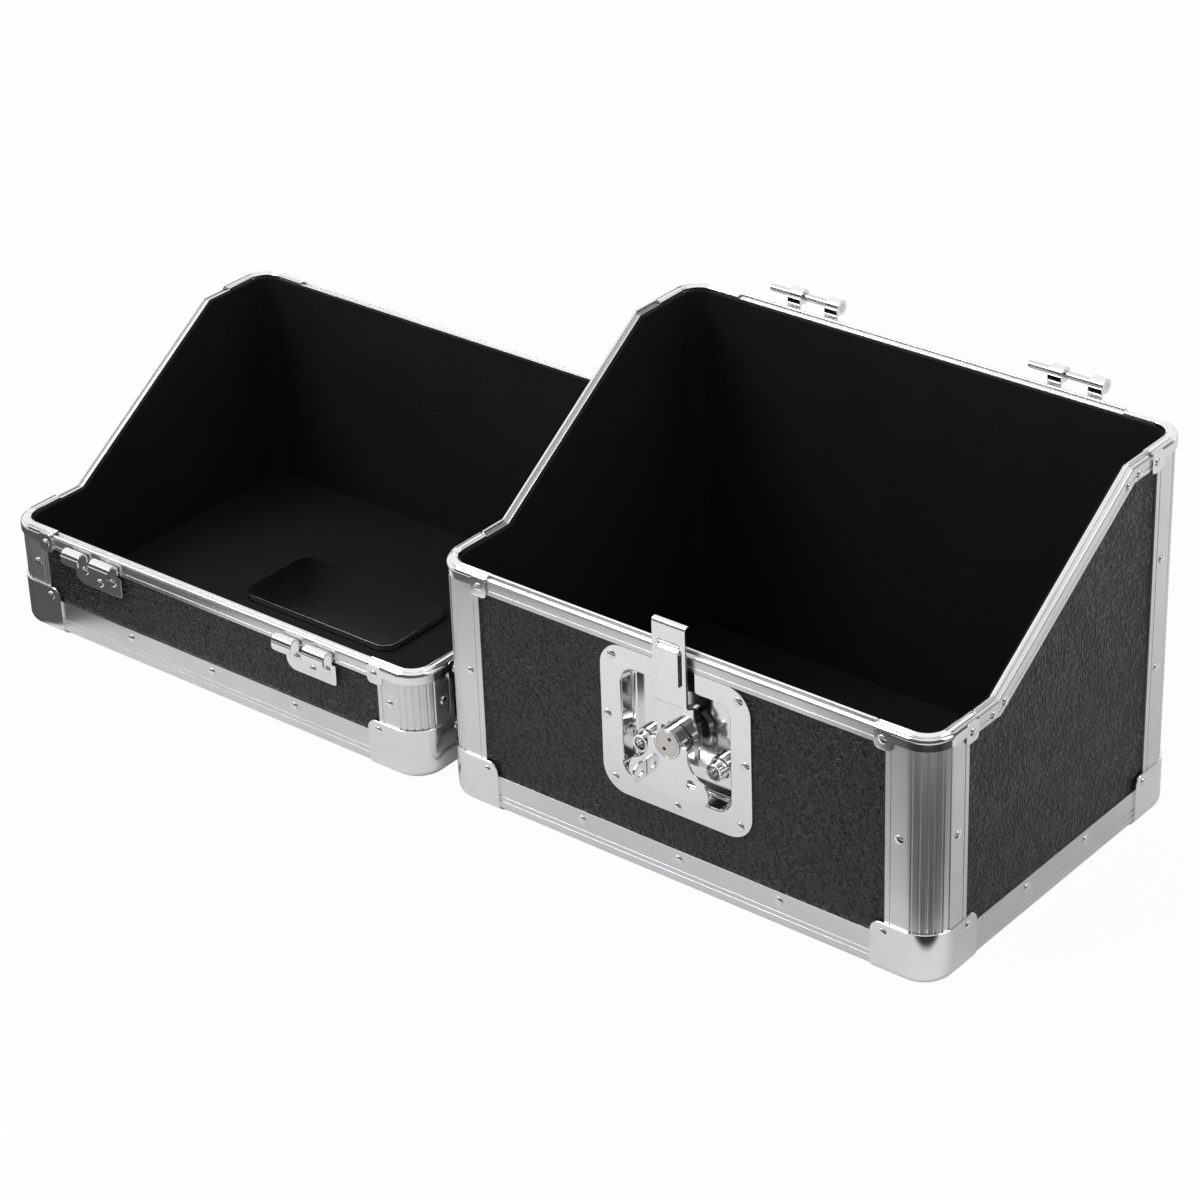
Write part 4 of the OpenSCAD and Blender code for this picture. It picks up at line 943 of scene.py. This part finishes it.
def makeLidHinges():
    x0, x1, low = hinge["leaf"]
    outline = arc((x0 + hinge["left"], low + hinge["left"]), hinge["left"], 180, 270, 10)
    outline += arc((x1 - hinge["right"], low + hinge["right"]), hinge["right"], 270, 360, 5)
    (near, far, end), foot, top = hinge["necks"], hinge["neckFoot"], hinge["neckTop"]
    outline += [(x1, foot), (end, foot), (end, top), (far, top), (far, foot), (near, foot), (near, top),
                (x0, top)]
    shapes = [plate("leaf", [outline], hinge["sheet"], 0.3, standing(0, -hinge["sheet"] / 2, 0))]
    shapes += [hookSheet(*hook) for hook in hinge["hooks"]]
    half = joined("lidHinge", shapes)
    for node in ("lid_hinge_left", "lid_hinge_right"):
        low, high = [Vector(c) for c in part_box(node)]
        place = (low.x, high.y, high.z + mm)
        mesh = placed(node + "Mesh", half, [place], [(0, 0, 0)], finishes["plated_latch"])
        newPiece(node + "_modelled", [mesh], [node])


makeLidHinges()
print("scene: hinges modelled")

for name in sorted(nodes):
    if name not in modelled:
        dressNode(name)
print("scene: nodes dressed")

# Studio: a pale table whose front and left edges are near the object, a dark room in front, white behind
studio = {"floor": 5.0, "floorColour": (0.86, 0.86, 0.865, 1), "lift": 0.95, "ambient": 0.6, "seen": 1.0,
          "room": 0.09, "turn": 46.0, "front": (41.5, 0.3862), "left": (-44.0, 0.352), "soft": 0.0055,
          "strip": 0.3, "flag": 1.5, "flagHeight": 0.0004}
lamps = {"keyLamp": ((-1.4, -1.6, 2.2), (0.0, 0.0, 0.1), (1.6, 1.2), 34.0),  # place, target, size and power
         "fillLamp": ((2.4, 0.6, 1.6), (0.1, 0.0, 0.1), (1.4, 1.4), 12.0)}


def stagePlane(name, half, height):
    mesh = bpy.data.meshes.new(name)
    mesh.from_pydata([(-half, -half, height), (half, -half, height), (half, half, height),
                      (-half, half, height)], [], [(0, 1, 2, 3)])
    plane = newObject(name, mesh)
    return plane


def makeFloor():
    material, net, bsdf, place = newMaterial("paleFloor", {"Roughness": 0.8, "Specular IOR Level": 0.1})
    net.link(net.mixColour(net.noise(place, 3.0), studio["floorColour"], (0.88, 0.88, 0.885, 1)),
             bsdf.inputs["Base Color"])
    seen = net.math("MULTIPLY", net.add("ShaderNodeLightPath").outputs["Is Camera Ray"], studio["lift"])
    lift = net.add("ShaderNodeEmission", {"Color": (1, 1, 1, 1), "Strength": 1.0})
    mixed = net.add("ShaderNodeMixShader", {0: seen, 1: bsdf.outputs[0], 2: lift.outputs[0]})
    net.link(mixed.outputs[0], material.node_tree.nodes["Material Output"].inputs["Surface"])
    stagePlane("floor", studio["floor"], 0.0).data.materials.append(material)


# The dark floor beyond the table's edges, seen by glossy rays alone: it gives bright metal its depth
def makeFlag():
    material, net, bsdf, place = newMaterial("darkFlag", {"Base Color": (0.01, 0.01, 0.011, 1)})
    cover, soft = 0.0, studio["soft"]
    for toward, near in (studio["front"], studio["left"]):  # bearings from the front, positive to the right
        across = (sin(radians(toward)), -cos(radians(toward)), 0)
        reach = net.add("ShaderNodeVectorMath", {0: place, 1: across}, operation="DOT_PRODUCT")
        reach, far = reach.outputs["Value"], near + studio["strip"]
        strip = net.math("MULTIPLY", net.span(reach, near - soft, near + soft),
                         net.span(reach, far - 0.08, far + 0.08, 1.0, 0.0))
        cover = net.math("MAXIMUM", strip, cover)
    clear = net.add("ShaderNodeBsdfTransparent")
    mixed = net.add("ShaderNodeMixShader", {0: cover, 1: clear.outputs[0], 2: bsdf.outputs[0]})
    net.link(mixed.outputs[0], material.node_tree.nodes["Material Output"].inputs["Surface"])
    flag = stagePlane("darkFlag", studio["flag"], studio["flagHeight"])
    flag.data.materials.append(material)
    for kind in ("camera", "diffuse", "transmission", "shadow", "volume_scatter"):
        setattr(flag, "visible_" + kind, False)


def makeWorld():
    world = bpy.data.worlds.new("studio")
    bpy.context.scene.world = world
    world.use_nodes = True
    net = Net(world.node_tree)
    background = world.node_tree.nodes["Background"]
    path = net.add("ShaderNodeLightPath").outputs
    direction = net.add("ShaderNodeTexCoord").outputs["Generated"]
    turn = radians(studio["turn"])
    toward = net.add("ShaderNodeVectorMath", {0: direction, 1: (sin(turn), -cos(turn), 0)},
                     operation="DOT_PRODUCT")
    rise = net.add("ShaderNodeSeparateXYZ", {0: direction}).outputs[2]
    dark = net.math("MULTIPLY", net.span(toward.outputs["Value"], -0.45, 0.05),
                    net.span(rise, 0.68, 0.86, 1.0, 0.0))
    mirrored = net.span(dark, 0.0, 1.0, studio["seen"], studio["room"])
    clear = net.math("MAXIMUM", path["Is Camera Ray"], path["Is Transmission Ray"])
    brighter = net.math("MULTIPLY", clear, studio["seen"] - studio["ambient"])
    strength = net.math("ADD", studio["ambient"], brighter)
    glossy = net.math("MULTIPLY", path["Is Glossy Ray"], net.math("SUBTRACT", mirrored, strength))
    background.inputs["Color"].default_value = (1, 1, 1, 1)
    net.link(net.math("ADD", strength, glossy), background.inputs["Strength"])


def makeLamp(name, place, target, size, power):
    data = bpy.data.lights.new(name, "AREA")
    data.shape = "RECTANGLE"
    data.size, data.size_y = size
    data.energy = power
    lamp = newObject(name, data)
    lamp.matrix_world = (Matrix.Translation(place)
                         @ (Vector(place) - Vector(target)).to_track_quat("Z", "Y").to_matrix().to_4x4())


view = {"place": (1.37357, -1.59421, 1.26550), "target": (-0.06981, 0.12433, 0.0), "roll": -2.12,
        "lens": 108.93, "sensor": 36.0}


def makeCamera():
    data = bpy.data.cameras.new("camera")
    data.sensor_width = view["sensor"]
    data.lens = view["lens"]
    data.clip_start = 0.05
    camera = newObject("camera", data)
    place = Vector(view["place"])
    facing = (place - Vector(view["target"])).to_track_quat("Z", "Y").to_matrix().to_4x4()
    camera.matrix_world = Matrix.Translation(place) @ facing @ Matrix.Rotation(radians(view["roll"]), 4, "Z")
    bpy.context.scene.camera = camera


makeFloor()
makeFlag()
makeWorld()
for name, setting in lamps.items():
    makeLamp(name, *setting)
makeCamera()
bpy.context.scene.view_settings.view_transform = "Standard"
print("scene: studio ready")
